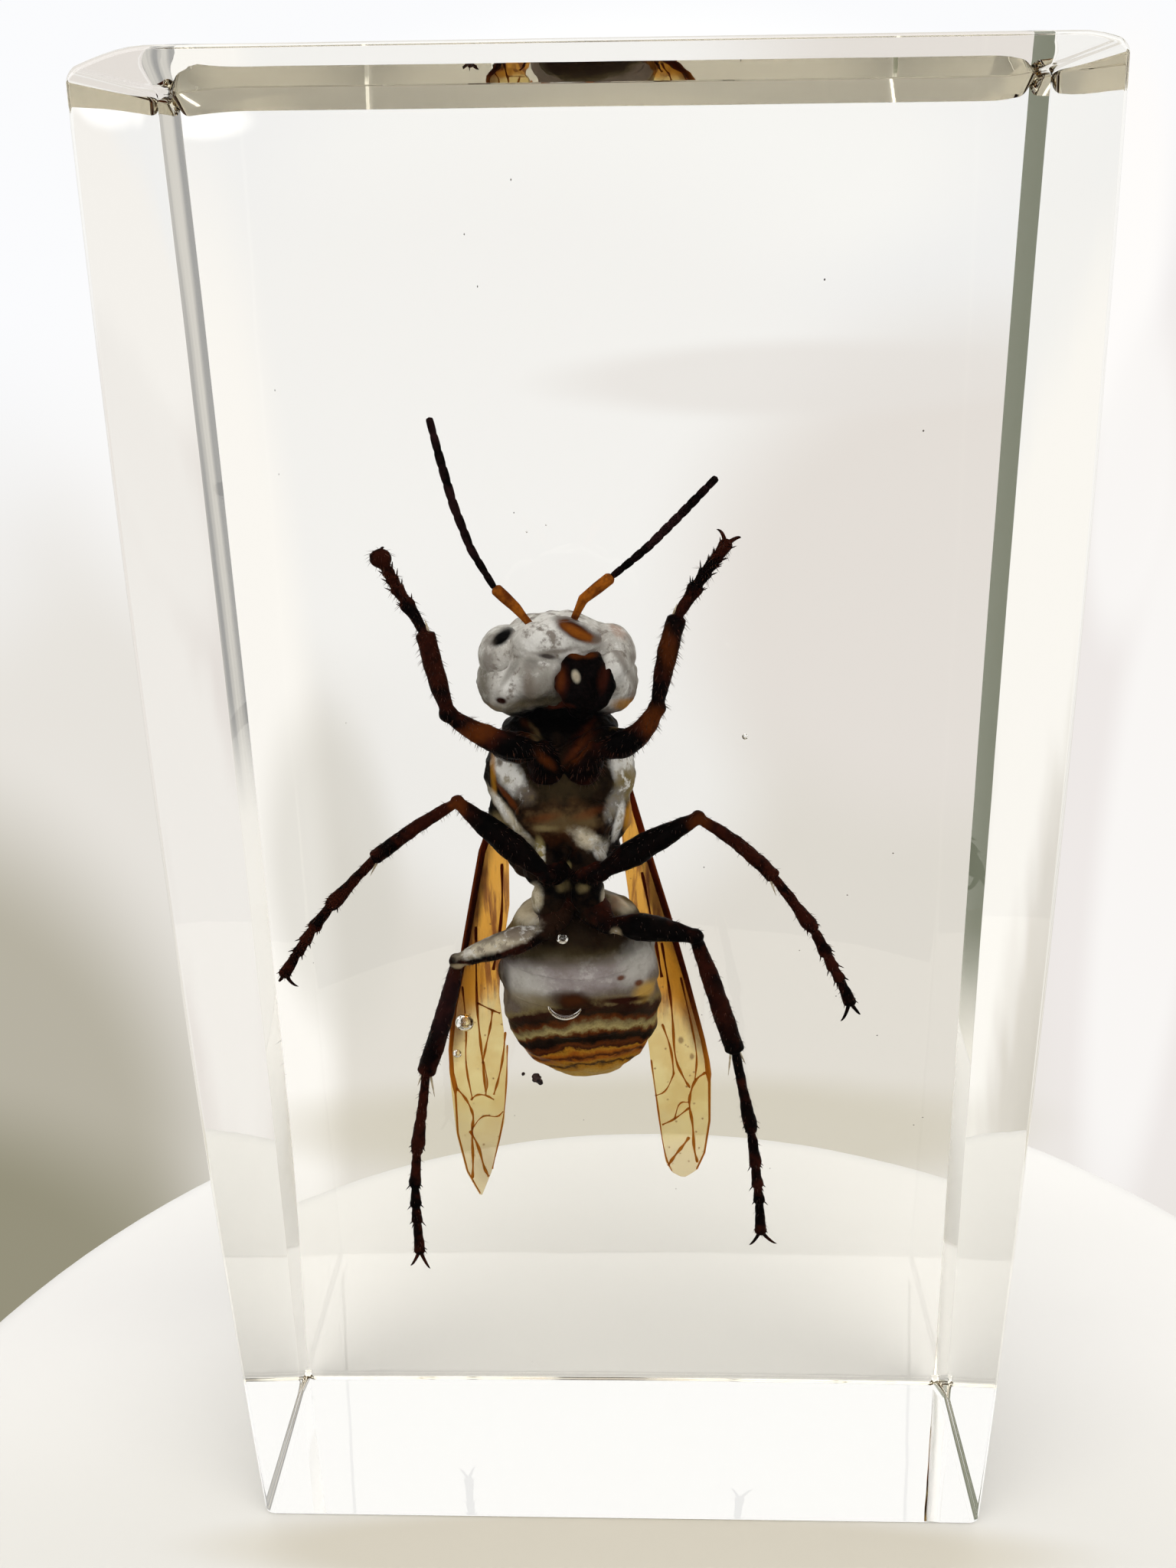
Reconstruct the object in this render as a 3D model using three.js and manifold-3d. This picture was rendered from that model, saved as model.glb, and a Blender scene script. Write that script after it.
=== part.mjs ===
// A hornet cast in an upright block of clear resin.
//
// Millimetres. X is to the right, Y runs away from the insect's underside and Z is up. The origin is in the
// middle of the face that the block stands on. The resin is parted into a front and a back half, and each
// half has its share of the pocket that the hornet lies in.

import * as THREE from 'three';
import { ConvexGeometry } from 'three/addons/geometries/ConvexGeometry.js';
import { mergeVertices } from 'three/addons/utils/BufferGeometryUtils.js';
import Module from 'manifold-3d';

const wasm = await Module();
wasm.setup();

// ---------------------------------------------------------------- driving dimensions

// The block is this wide at its ends, and each narrow side swells by the bulge at half its height.
const BLOCK_WIDTH = 39.6;
const SIDE_BULGE = 0.6;
const BLOCK_DEPTH = 20;
const BLOCK_HEIGHT = 73;
const EDGE_RADIUS = 0.9;
const EDGE_STEPS = 2;
const CORNER_RADIUS = 1.2;
const CORNER_STEPS = 3;
const SIDE_STEPS = 8;
const PARTING_GAP = 0.3;
const POCKET_CLEARANCE = 0.43;

const MIDLINE_X = -2.3;
const WING_THICKNESS = 0.24;
const WING_DEPTH_Y = 2.6;
const CLAW_RADII = [0.13, 0.08];

// The smallest distance from the middle of a faceted ball to its faces, as a share of its radius.
const COARSE_BALL_INSIDE = 0.795;
const FINE_BALL_INSIDE = 0.92;

// Each ball is [x, y, z, radius x, radius y, radius z]. A tight skin joins the balls of a list.
const HEAD = [
  [MIDLINE_X, -0.5, 47.8, 3.2, 3.3, 2.3],
  [MIDLINE_X - 2.05, -0.4, 46.9, 1.85, 2.7, 1.9],
  [MIDLINE_X + 2.05, -0.4, 46.9, 1.85, 2.7, 1.9],
];
const EYES = [
  [MIDLINE_X - 2.55, -0.3, 48.1, 1.1, 2.2, 1.3],
  [MIDLINE_X + 2.55, -0.3, 48.1, 1.1, 2.2, 1.3],
];
const MOUTH = [
  [-1.2, -3.1, 48.3, 1.6, 1.3, 1.3],
  [-0.9, -3.2, 46.9, 1.2, 1.4, 1.7],
];
const NECK = [
  [MIDLINE_X, 0.2, 45.6, 1.4, 1.5, 0.8],
  [MIDLINE_X, 0.0, 43.8, 2.6, 2.4, 1.0],
];
const THORAX = [
  [MIDLINE_X - 0.1, 0.3, 41.6, 3.85, 3.6, 3.0],
  [MIDLINE_X, -0.1, 38.1, 3.1, 3.2, 2.4],
  [-2.0, -0.8, 36.1, 1.8, 2.1, 1.4],
];
const WAIST = [
  [-2.0, -0.8, 35.8, 1.0, 1.0, 0.8],
  [-1.8, -0.5, 33.8, 0.9, 0.9, 0.8],
];

// Distance along the gaster and radius there. Each short step down is the rim of a ring of plates.
const GASTER_PROFILE = [
  [0.0, 0.0],
  [0.3, 1.9],
  [1.2, 3.2],
  [2.8, 3.9],
  [4.4, 4.15],
  [4.5, 4.0],
  [6.6, 4.22],
  [6.7, 4.05],
  [8.6, 3.9],
  [8.7, 3.72],
  [10.1, 3.2],
  [10.2, 3.0],
  [11.1, 2.2],
  [11.8, 1.0],
  [12.0, 0.0],
];
const GASTER_SIDES = 20;
const POCKET_GASTER_SIDES = 12;
const GASTER_FLATTENING = 0.86;
const GASTER_TOP = [-1.8, -1.1, 35.6];
const GASTER_TILT = THREE.MathUtils.degToRad(20);
const GASTER_LEAN = THREE.MathUtils.degToRad(1.5);

// Radii along a leg: hip, trochanter, thigh, knee, shin, heel, then the joints of the foot.
const FORE_RADII = [1.1, 0.6, 0.8, 0.42, 0.38, 0.46, 0.3, 0.28, 0.28, 0.24];
const MID_RADII = [1.1, 0.6, 0.62, 0.34, 0.26, 0.46, 0.28, 0.28, 0.27, 0.24];
const HIND_RADII = [1.1, 0.65, 0.66, 0.44, 0.42, 0.56, 0.32, 0.28, 0.28, 0.24];
// Joints that lie nearly in line, for one stretch of the pocket each. The last one holds the foot and claws.
const LEG_RUNS = [[0, 2], [1, 4], [3, 6], [5, 10]];
const THIGH_START = 1;
const HEEL = 5;

// The joints of each leg, in the order of the radii, and then the tips of its two claws.
const LEGS = [
  {
    radii: FORE_RADII,
    joints: [
      [-2.9, -2.3, 42.8], [-3.0, -3.4, 44.1], [-5.1, -4.0, 44.7], [-7.3, -4.2, 46.1], [-7.8, -3.8, 48.0],
      [-8.2, -3.4, 49.8], [-8.9, -3.0, 51.0], [-9.4, -2.8, 51.8], [-9.8, -2.7, 52.6], [-10.1, -2.6, 53.2],
    ],
    claws: [[-10.6, -2.5, 53.4], [-10.0, -2.5, 53.9]],
  },
  {
    radii: FORE_RADII,
    joints: [
      [-1.3, -2.3, 42.8], [-0.5, -3.4, 44.1], [1.2, -4.0, 44.7], [2.4, -4.2, 46.3], [2.8, -3.8, 48.4],
      [3.3, -3.4, 50.4], [4.1, -3.1, 51.6], [4.6, -2.9, 52.4], [5.1, -2.8, 53.0], [5.5, -2.7, 53.6],
    ],
    claws: [[5.2, -2.6, 54.3], [6.2, -2.6, 53.9]],
  },
  {
    radii: MID_RADII,
    joints: [
      [-2.8, -2.6, 37.8], [-3.0, -3.9, 37.8], [-5.1, -4.1, 39.8], [-7.1, -4.2, 41.7], [-9.3, -3.6, 40.2],
      [-11.4, -3.0, 38.5], [-13.7, -2.2, 36.0], [-15.0, -1.9, 34.3], [-16.0, -1.7, 32.8], [-16.7, -1.5, 31.7],
    ],
    claws: [[-17.1, -1.4, 31.1], [-16.0, -1.4, 30.7]],
  },
  {
    radii: MID_RADII,
    joints: [
      [-1.3, -2.6, 37.8], [-0.4, -3.9, 37.9], [1.9, -4.1, 39.4], [4.3, -4.2, 40.8], [6.2, -3.6, 39.3],
      [8.0, -3.0, 37.4], [10.0, -2.2, 34.5], [10.9, -1.9, 32.6], [11.6, -1.7, 31.2], [12.1, -1.5, 30.0],
    ],
    claws: [[11.7, -1.4, 28.7], [12.7, -1.4, 29.1]],
  },
  {
    radii: HIND_RADII,
    joints: [
      [-2.5, -2.0, 35.8], [-3.0, -3.7, 34.7], [-5.3, -3.9, 34.0], [-7.6, -3.8, 33.1], [-8.5, -3.1, 29.8],
      [-9.7, -2.4, 26.2], [-10.6, -1.6, 20.9], [-10.9, -1.4, 18.4], [-10.9, -1.2, 16.3], [-10.9, -1.0, 14.3],
    ],
    claws: [[-11.5, -0.9, 13.2], [-10.4, -0.9, 13.0]],
  },
  {
    radii: HIND_RADII,
    joints: [
      [-1.2, -2.0, 35.9], [-0.1, -3.7, 35.0], [2.1, -3.9, 34.9], [4.2, -3.8, 34.4], [5.2, -3.1, 31.2],
      [6.3, -2.4, 27.5], [7.3, -1.6, 22.1], [7.6, -1.4, 19.4], [7.8, -1.2, 17.5], [7.9, -1.0, 15.7],
    ],
    claws: [[7.3, -0.9, 14.7], [8.8, -0.9, 14.8]],
  },
];

const ANTENNA_RADII = [0.28, 0.26, 0.2, 0.22, 0.22, 0.2, 0.16];
const ANTENNA_RUNS = [[0, 2], [1, 3], [2, 7]];
const ANTENNAE = [
  [
    [-3.2, -1.8, 49.0], [-4.0, -2.4, 51.1], [-5.0, -2.4, 51.7], [-6.0, -2.2, 53.5], [-6.7, -2.0, 55.5],
    [-7.2, -1.8, 57.5], [-7.6, -1.6, 59.3],
  ],
  [
    [-1.5, -1.8, 49.1], [-0.6, -2.4, 51.3], [0.3, -2.4, 52.1], [1.3, -2.3, 52.9], [2.1, -2.2, 53.5],
    [3.5, -2.0, 55.0], [5.1, -1.8, 56.5],
  ],
];

// Stations down each folded wing: height, middle and half of its width.
const WINGS = [
  [
    [40.8, -5.3, 0.45], [37.3, -6.0, 0.7], [34.0, -6.35, 1.0], [30.6, -7.0, 1.1], [28.0, -7.3, 1.42],
    [24.6, -7.45, 1.6], [20.6, -7.5, 1.32], [17.8, -7.65, 0.72], [16.3, -7.6, 0.12],
  ],
  [
    [40.8, 0.5, 0.45], [37.3, 1.3, 0.7], [33.4, 2.1, 0.95], [30.0, 2.7, 1.25], [26.0, 3.4, 1.5],
    [23.4, 3.7, 1.58], [21.0, 3.8, 1.42], [18.8, 3.85, 1.1], [17.5, 3.5, 0.35],
  ],
];

// ---------------------------------------------------------------- solids

/** Turns a closed three.js geometry into a solid. */
function solid(geometry) {
  const plain = geometry.index ? geometry.toNonIndexed() : geometry.clone();
  plain.deleteAttribute('normal');
  plain.deleteAttribute('uv');
  const merged = mergeVertices(plain, 1e-5);
  return new wasm.Manifold(new wasm.Mesh({
    numProp: 3,
    vertProperties: new Float32Array(merged.attributes.position.array),
    triVerts: new Uint32Array(merged.index.array),
  }));
}

/** Joins a list of solids into one. */
function join(solids) {
  return solids.reduce((whole, next) => whole.add(next));
}

/** The corners of a faceted ball that is larger than its sizes by grow. */
function ballPoints([x, y, z, rx, ry, rz], detail, grow) {
  const inside = detail > 0 ? FINE_BALL_INSIDE : COARSE_BALL_INSIDE;
  const swell = grow > 0 ? 1 / inside : 1;
  const position = new THREE.IcosahedronGeometry(1, detail).attributes.position;
  const points = [];
  for (let i = 0; i < position.count; i += 1) {
    points.push(new THREE.Vector3(
      x + position.getX(i) * (rx + grow) * swell,
      y + position.getY(i) * (ry + grow) * swell,
      z + position.getZ(i) * (rz + grow) * swell,
    ));
  }
  return points;
}

/** The tight skin around a list of balls. */
function skin(balls, detail, grow) {
  const points = balls.flatMap((ball) => ballPoints(ball, detail, grow));
  return solid(new ConvexGeometry(points));
}

/** A chain of balls in which each pair of neighbours shares a skin. */
function chain(balls, detail, grow) {
  const links = balls.slice(1).map((ball, i) => skin([balls[i], ball], detail, grow));
  return join(links);
}

/** Round balls at a list of joints. */
function jointBalls(joints, radii) {
  return joints.map((joint, i) => [...joint, radii[i], radii[i], radii[i]]);
}

/** A leg with its foot and two claws. */
function leg({ radii, joints, claws }) {
  const balls = jointBalls(joints, radii);
  const toe = joints[joints.length - 1];
  const hooks = claws.map((tip) => skin(jointBalls([toe, tip], CLAW_RADII), 0, 0));
  return join([
    chain(balls.slice(0, THIGH_START + 1), 0, 0),
    chain(balls.slice(THIGH_START, HEEL + 1), 1, 0),
    chain(balls.slice(HEEL), 0, 0),
    ...hooks,
  ]);
}

/** The pocket of a limb: a tight skin around each of its runs of joints, with the claws in the last. */
function limbPocket(joints, radii, claws, runs, grow) {
  const balls = jointBalls(joints, radii);
  const clawBalls = claws.map((tip) => [...tip, CLAW_RADII[1], CLAW_RADII[1], CLAW_RADII[1]]);
  const skins = runs.map(([start, end]) => {
    const extra = end === joints.length ? clawBalls : [];
    return skin([...balls.slice(start, end), ...extra], 0, grow);
  });
  return join(skins);
}

/** The gaster: stepped rings around an axis that leans away at the tip. */
function gaster(sides, grow) {
  const length = GASTER_PROFILE[GASTER_PROFILE.length - 1][0];
  const stretch = 1 + (2 * grow) / length;
  const swell = grow > 0 ? 1 / Math.cos(Math.PI / sides) : 1;
  const outline = GASTER_PROFILE.map(([along, radius]) => {
    const around = radius > 0 ? (radius + grow / GASTER_FLATTENING) * swell : 0;
    return new THREE.Vector2(around, grow - along * stretch);
  });
  const geometry = new THREE.LatheGeometry(outline.reverse(), sides);
  geometry.rotateX(Math.PI / 2);
  geometry.scale(1, GASTER_FLATTENING, 1);
  geometry.rotateX(GASTER_TILT);
  geometry.rotateY(-GASTER_LEAN);
  geometry.translate(...GASTER_TOP);
  return solid(geometry);
}

/** A folded wing: a thin plate in the plane of X and Z with a rounded outline. */
function wing(stations, grow) {
  const last = stations.length - 1;
  const side = (sign) => stations.map(([z, x, half], i) => {
    const beyond = (i === 0 ? grow : 0) - (i === last ? grow : 0);
    return new THREE.Vector2(x + sign * (half + grow), z + beyond);
  });
  const outline = new THREE.Shape([...side(-1), ...side(1).reverse()]);
  const depth = WING_THICKNESS + 2 * grow;
  const geometry = new THREE.ExtrudeGeometry(outline, { depth, bevelEnabled: false });
  geometry.rotateX(Math.PI / 2);
  geometry.translate(0, WING_DEPTH_Y + depth / 2, 0);
  return solid(geometry);
}

/** Head, thorax, waist, gaster and wings, larger by grow all round. */
function body(detail, limbDetail, gasterSides, grow) {
  return [
    skin(HEAD, detail, grow),
    ...EYES.map((eye) => skin([eye], limbDetail, grow)),
    skin(MOUTH, limbDetail, grow),
    chain(NECK, limbDetail, grow),
    skin(THORAX, detail, grow),
    chain(WAIST, limbDetail, grow),
    gaster(gasterSides, grow),
    ...WINGS.map((stations) => wing(stations, grow)),
  ];
}

/** The whole insect as one solid. */
function insect() {
  return join([
    ...body(2, 1, GASTER_SIDES, 0),
    ...LEGS.map(leg),
    ...ANTENNAE.map((joints) => chain(jointBalls(joints, ANTENNA_RADII), 0, 0)),
  ]);
}

/** The space in the resin that clears the insect on every side. */
function insectPocket(grow) {
  return join([
    ...body(1, 0, POCKET_GASTER_SIDES, grow),
    ...LEGS.map(({ joints, radii, claws }) => limbPocket(joints, radii, claws, LEG_RUNS, grow)),
    ...ANTENNAE.map((joints) => limbPocket(joints, ANTENNA_RADII, [], ANTENNA_RUNS, grow)),
  ]);
}

/** How far the narrow sides stand out at a height. */
function bulgeAt(z) {
  const share = (2 * z) / BLOCK_HEIGHT - 1;
  return SIDE_BULGE * (1 - share * share);
}

/** The block's front outline, in X and Z, with round corners and swelling sides. */
function blockOutline() {
  const half = BLOCK_WIDTH / 2;
  const outline = new THREE.Shape();
  const corner = (signX, z, start) => {
    const x = signX * (half - CORNER_RADIUS);
    outline.absarc(x, z, CORNER_RADIUS, start, start + Math.PI / 2, false);
  };
  const side = (signX, from, to) => {
    for (let i = 1; i < SIDE_STEPS; i += 1) {
      const z = from + ((to - from) * i) / SIDE_STEPS;
      outline.lineTo(signX * (half + bulgeAt(z)), z);
    }
  };
  const low = CORNER_RADIUS;
  const high = BLOCK_HEIGHT - CORNER_RADIUS;
  corner(1, low, -Math.PI / 2);
  side(1, low, high);
  corner(1, high, 0);
  corner(-1, high, Math.PI / 2);
  side(-1, high, low);
  corner(-1, low, Math.PI);
  return outline;
}

/** The block with rounded edges, standing on its end. */
function block() {
  const depth = BLOCK_DEPTH - 2 * EDGE_RADIUS;
  const geometry = new THREE.ExtrudeGeometry(blockOutline(), {
    depth,
    curveSegments: CORNER_STEPS,
    bevelThickness: EDGE_RADIUS,
    bevelSize: EDGE_RADIUS,
    bevelOffset: -EDGE_RADIUS,
    bevelSegments: EDGE_STEPS,
  });
  geometry.rotateX(Math.PI / 2);
  geometry.translate(0, depth / 2, 0);
  return solid(geometry);
}

/** A box that covers the front (sign -1) or back (sign 1) of the block up to the parting gap. */
function sideOfParting(sign) {
  const reach = BLOCK_HEIGHT;
  const geometry = new THREE.BoxGeometry(2 * reach, reach, 4 * reach);
  geometry.translate(0, sign * (reach + PARTING_GAP) / 2, 0);
  return solid(geometry);
}

// ---------------------------------------------------------------- scene graph

/** A named mesh with flat faces from a solid. */
function namedMesh(name, body, material) {
  const { numProp, vertProperties, triVerts } = body.getMesh();
  const geometry = new THREE.BufferGeometry();
  const array = new THREE.InterleavedBuffer(new Float32Array(vertProperties), numProp);
  geometry.setAttribute('position', new THREE.InterleavedBufferAttribute(array, 3, 0));
  geometry.setIndex([...triVerts]);
  const mesh = new THREE.Mesh(geometry, material);
  mesh.name = name;
  return mesh;
}

/** The clear, slightly warm resin. */
function resinMaterial() {
  return new THREE.MeshStandardMaterial({
    color: '#efe9d6',
    roughness: 0.04,
    metalness: 0,
    transparent: true,
    opacity: 0.3,
  });
}

/** The dark chestnut shell of the hornet. */
function shellMaterial() {
  return new THREE.MeshStandardMaterial({ color: '#3b1c0d', roughness: 0.4, metalness: 0 });
}

const castBlock = block().subtract(insectPocket(POCKET_CLEARANCE));

const part = new THREE.Group();
part.add(namedMesh('resin_front', castBlock.intersect(sideOfParting(-1)), resinMaterial()));
part.add(namedMesh('resin_back', castBlock.intersect(sideOfParting(1)), resinMaterial()));
part.add(namedMesh('hornet', insect(), shellMaterial()));

export default part;
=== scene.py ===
"""A hornet cast in an upright block of clear resin.

Lengths are in millimetres in the classes below, and every finished mesh is brought to metres. X is to the
right, Y runs away from the insect's underside and Z is up. The block stands on the plane z = 0.
"""

import logging
import math
import random
from collections.abc import Callable, Sequence
from dataclasses import dataclass
from enum import Enum
from functools import cache

import bpy
import numpy as np
from bpy.types import Material, Mesh, Node, NodeOutputs, NodeSocket, NodeTree, Object
from mathutils import Euler, Matrix, Vector, noise


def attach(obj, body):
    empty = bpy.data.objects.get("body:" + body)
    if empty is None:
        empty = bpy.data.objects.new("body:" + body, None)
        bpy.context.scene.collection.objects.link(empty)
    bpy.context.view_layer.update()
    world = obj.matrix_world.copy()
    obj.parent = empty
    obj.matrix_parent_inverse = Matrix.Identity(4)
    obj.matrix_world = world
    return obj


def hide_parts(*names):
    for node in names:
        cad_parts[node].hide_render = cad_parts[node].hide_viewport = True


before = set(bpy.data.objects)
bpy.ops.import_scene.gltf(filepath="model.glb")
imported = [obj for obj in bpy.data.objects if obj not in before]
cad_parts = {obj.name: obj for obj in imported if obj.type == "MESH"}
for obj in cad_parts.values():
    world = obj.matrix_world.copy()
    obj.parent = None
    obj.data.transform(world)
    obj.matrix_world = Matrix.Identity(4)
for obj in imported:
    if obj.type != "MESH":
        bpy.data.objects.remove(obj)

LOG = logging.getLogger("hornet_in_resin")
MM = 0.001
FAR = 1e6
BODY = "root"

Triple = tuple[float, float, float]
Pair = tuple[float, float]


class Slot(Enum):
    """The record's material slots."""

    RESIN = "resin"
    CHITIN = "chitin"


class Tone(Enum):
    """Linear colours of the finishes."""

    BLACK = (0.0012, 0.0007, 0.0006)
    UMBER = (0.017, 0.0085, 0.004)
    MAROON = (0.034, 0.0065, 0.0028)
    RUST = (0.13, 0.03, 0.004)
    ORANGE = (0.42, 0.12, 0.01)
    AMBER = (0.52, 0.23, 0.02)
    HONEY = (0.66, 0.4, 0.09)
    STRAW = (0.52, 0.42, 0.17)
    KHAKI = (0.25, 0.19, 0.085)
    OLIVE = (0.085, 0.065, 0.03)
    TAUPE = (0.19, 0.15, 0.12)
    ASH = (0.34, 0.32, 0.29)
    LILAC = (0.42, 0.37, 0.37)
    SILVER = (0.66, 0.64, 0.6)
    PEARL = (0.93, 0.92, 0.89)
    CREAM = (0.74, 0.66, 0.5)
    PLUM = (0.022, 0.008, 0.009)
    BONE = (0.5, 0.4, 0.25)

    @property
    def rgba(self) -> tuple[float, float, float, float]:
        """The colour with full alpha."""
        return (*self.value, 1.0)


# meshes


@dataclass(frozen=True)
class Ball:
    """An ellipsoid: its middle, half its size along its own axes, and its turn about Y in degrees."""

    x: float
    y: float
    z: float
    wide: float
    deep: float
    high: float
    turn: float = 0.0


class Form:
    """Points and faces of a mesh while it is made, in millimetres."""

    def __init__(self) -> None:
        """Starts an empty form."""
        self.points: list[Vector] = []
        self.faces: list[tuple[int, ...]] = []

    def rings(self, rings: Sequence[Sequence[Vector]], poles: tuple[Vector, Vector]) -> None:
        """Adds a closed skin over a row of rings.

        Args:
            rings: Points of each ring, counter-clockwise about the direction of the row.
            poles: The points that close the first and the last ring.
        """
        start = len(self.points)
        count = len(rings[0])
        for ring in rings:
            self.points.extend(ring)
        first = len(self.points)
        self.points.extend(poles)
        for i in range(len(rings) - 1):
            for k in range(count):
                here = start + i * count
                turn = (k + 1) % count
                self.faces.append((here + k, here + turn, here + count + turn, here + count + k))
        last = start + (len(rings) - 1) * count
        for k in range(count):
            turn = (k + 1) % count
            self.faces.append((first, start + turn, start + k))
            self.faces.append((first + 1, last + k, last + turn))

    def balls(self, *balls: Ball, sides: int = 24) -> None:
        """Adds ellipsoids.

        Args:
            balls: Their places and sizes.
            sides: Points round each.
        """
        half = sides // 2
        for ball in balls:
            spin = Euler((0.0, math.radians(ball.turn), 0.0)).to_matrix()

            def at(lift: float, around: float) -> Vector:
                """A point of the surface by its two angles."""
                flat = math.cos(lift)
                local = Vector((flat * math.cos(around), flat * math.sin(around), math.sin(lift)))
                sized = [a * b for a, b in zip(local, (ball.wide, ball.deep, ball.high))]
                return Vector((ball.x, ball.y, ball.z)) + spin @ Vector(sized)

            rings = [
                [at(math.pi * (i / half - 0.5), 2 * math.pi * k / sides) for k in range(sides)]
                for i in range(1, half)
            ]
            self.rings(rings, (at(-math.pi / 2, 0), at(math.pi / 2, 0)))

    def tube(self, path: Sequence[Sequence[float]], radii: Sequence[float], sides: int = 12,
             flat: float = 1.0) -> None:
        """Adds a closed tube along a path.

        Args:
            path: Middle of each ring.
            radii: Radius of each ring.
            sides: Points round it.
            flat: Thickness across the tube's second direction, as a share of the first.
        """
        points = [Vector(p) for p in path]
        last = len(points) - 1
        side = Vector((0.31, -0.9, 0.28))
        rings = []
        for i, point in enumerate(points):
            along = (points[min(i + 1, last)] - points[max(i - 1, 0)]).normalized()
            side = (side - along * side.dot(along)).normalized()
            up = along.cross(side)
            ring = []
            for k in range(sides):
                angle = 2 * math.pi * k / sides
                ring.append(point + (side * math.cos(angle) + up * math.sin(angle) * flat) * radii[i])
            rings.append(ring)
        ends = (points[1] - points[0]).normalized(), (points[-1] - points[-2]).normalized()
        poles = (points[0] - ends[0] * radii[0] * 0.4, points[-1] + ends[1] * radii[-1] * 0.4)
        self.rings(rings, poles)

    def take(self, mesh: Mesh) -> None:
        """Adds a mesh's points and faces, and deletes the mesh."""
        start = len(self.points)
        self.points.extend(v.co.copy() for v in mesh.vertices)
        self.faces.extend(tuple(start + i for i in face.vertices) for face in mesh.polygons)
        bpy.data.meshes.remove(mesh)

    def mesh(self, name: str) -> Mesh:
        """Makes a mesh of the form, still in millimetres.

        Args:
            name: The mesh's name.

        Returns:
            The new mesh, smooth shaded.
        """
        mesh = bpy.data.meshes.new(name)
        mesh.from_pydata([tuple(p) for p in self.points], [], self.faces)
        mesh.shade_smooth()
        return mesh


class Workshop:
    """Turns forms into finished objects."""

    @staticmethod
    def link(name: str, mesh: Mesh) -> Object:
        """Puts a mesh in the scene.

        Args:
            name: The object's name.
            mesh: Its mesh.

        Returns:
            The new object, at the origin.
        """
        made = bpy.data.objects.new(name, mesh)
        bpy.context.scene.collection.objects.link(made)
        return made

    @staticmethod
    def settle(made: Object) -> Mesh:
        """Applies an object's modifiers.

        Args:
            made: The object, which is taken out of the scene.

        Returns:
            The evaluated mesh.
        """
        graph = bpy.context.evaluated_depsgraph_get()
        result = bpy.data.meshes.new_from_object(made.evaluated_get(graph))
        old = made.data
        bpy.data.objects.remove(made)
        if old.users == 0:
            bpy.data.meshes.remove(old)
        return result

    @classmethod
    def fuse(cls, form: Form, voxel: float, passes: int = 4) -> Mesh:
        """Melts overlapping shapes into one skin.

        Args:
            form: The closed shapes.
            voxel: Size of the grid that the skin is drawn on.
            passes: Rounds of smoothing.

        Returns:
            The joined mesh, in millimetres.
        """
        made = cls.link("fusing", form.mesh("fusing"))
        remesh = made.modifiers.new("remesh", "REMESH")
        remesh.mode = "VOXEL"
        remesh.voxel_size = voxel
        remesh.use_smooth_shade = True
        smooth = made.modifiers.new("smooth", "SMOOTH")
        smooth.factor = 0.5
        smooth.iterations = passes
        return cls.settle(made)

    @staticmethod
    def dent(mesh: Mesh, depth: Callable[[Vector], float]) -> None:
        """Moves each point of a mesh along its normal.

        Args:
            mesh: The mesh to change.
            depth: Distance outwards for a place on it.
        """
        moved = [v.co + v.normal * depth(v.co) for v in mesh.vertices]
        for vertex, place in zip(mesh.vertices, moved):
            vertex.co = place

    @classmethod
    def piece(cls, name: str, mesh: Mesh, material: Material, nodes: Sequence[str] = ("hornet",),
              slot: Slot = Slot.CHITIN) -> None:
        """Finishes a piece of the object, in metres and riding on the body.

        Args:
            name: The piece's name.
            mesh: Its mesh, in millimetres.
            material: What it is made of.
            nodes: CAD nodes that the piece stands for.
            slot: The record's slot for that material; it is not used.
        """
        mesh.name = name
        mesh.transform(Matrix.Scale(MM, 4))
        mesh.materials.clear()
        mesh.materials.append(material)
        made = cls.link(name, mesh)
        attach(made, BODY)
        if nodes:
            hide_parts(*nodes)
        LOG.info("%s: %d faces, %s", name, len(mesh.polygons), material.name)


def along(points: Sequence[Vector], share: float) -> Vector:
    """Finds a point of a polyline.

    Args:
        points: The polyline.
        share: How far along its length, from 0 to 1.

    Returns:
        The point.
    """
    lengths = np.cumsum([0.0, *[(b - a).length for a, b in zip(points, points[1:])]])
    where = share * lengths[-1]
    return Vector([float(np.interp(where, lengths, [p[i] for p in points])) for i in range(3)])


def bow(start: Vector, bend: Vector, end: Vector, share: float) -> Vector:
    """Finds a point of a curve.

    Args:
        start: Its start.
        bend: The point that pulls it aside.
        end: Its end.
        share: How far along, from 0 to 1.

    Returns:
        The point.
    """
    return start * (1 - share) ** 2 + bend * 2 * share * (1 - share) + end * share ** 2


# node helpers


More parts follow.
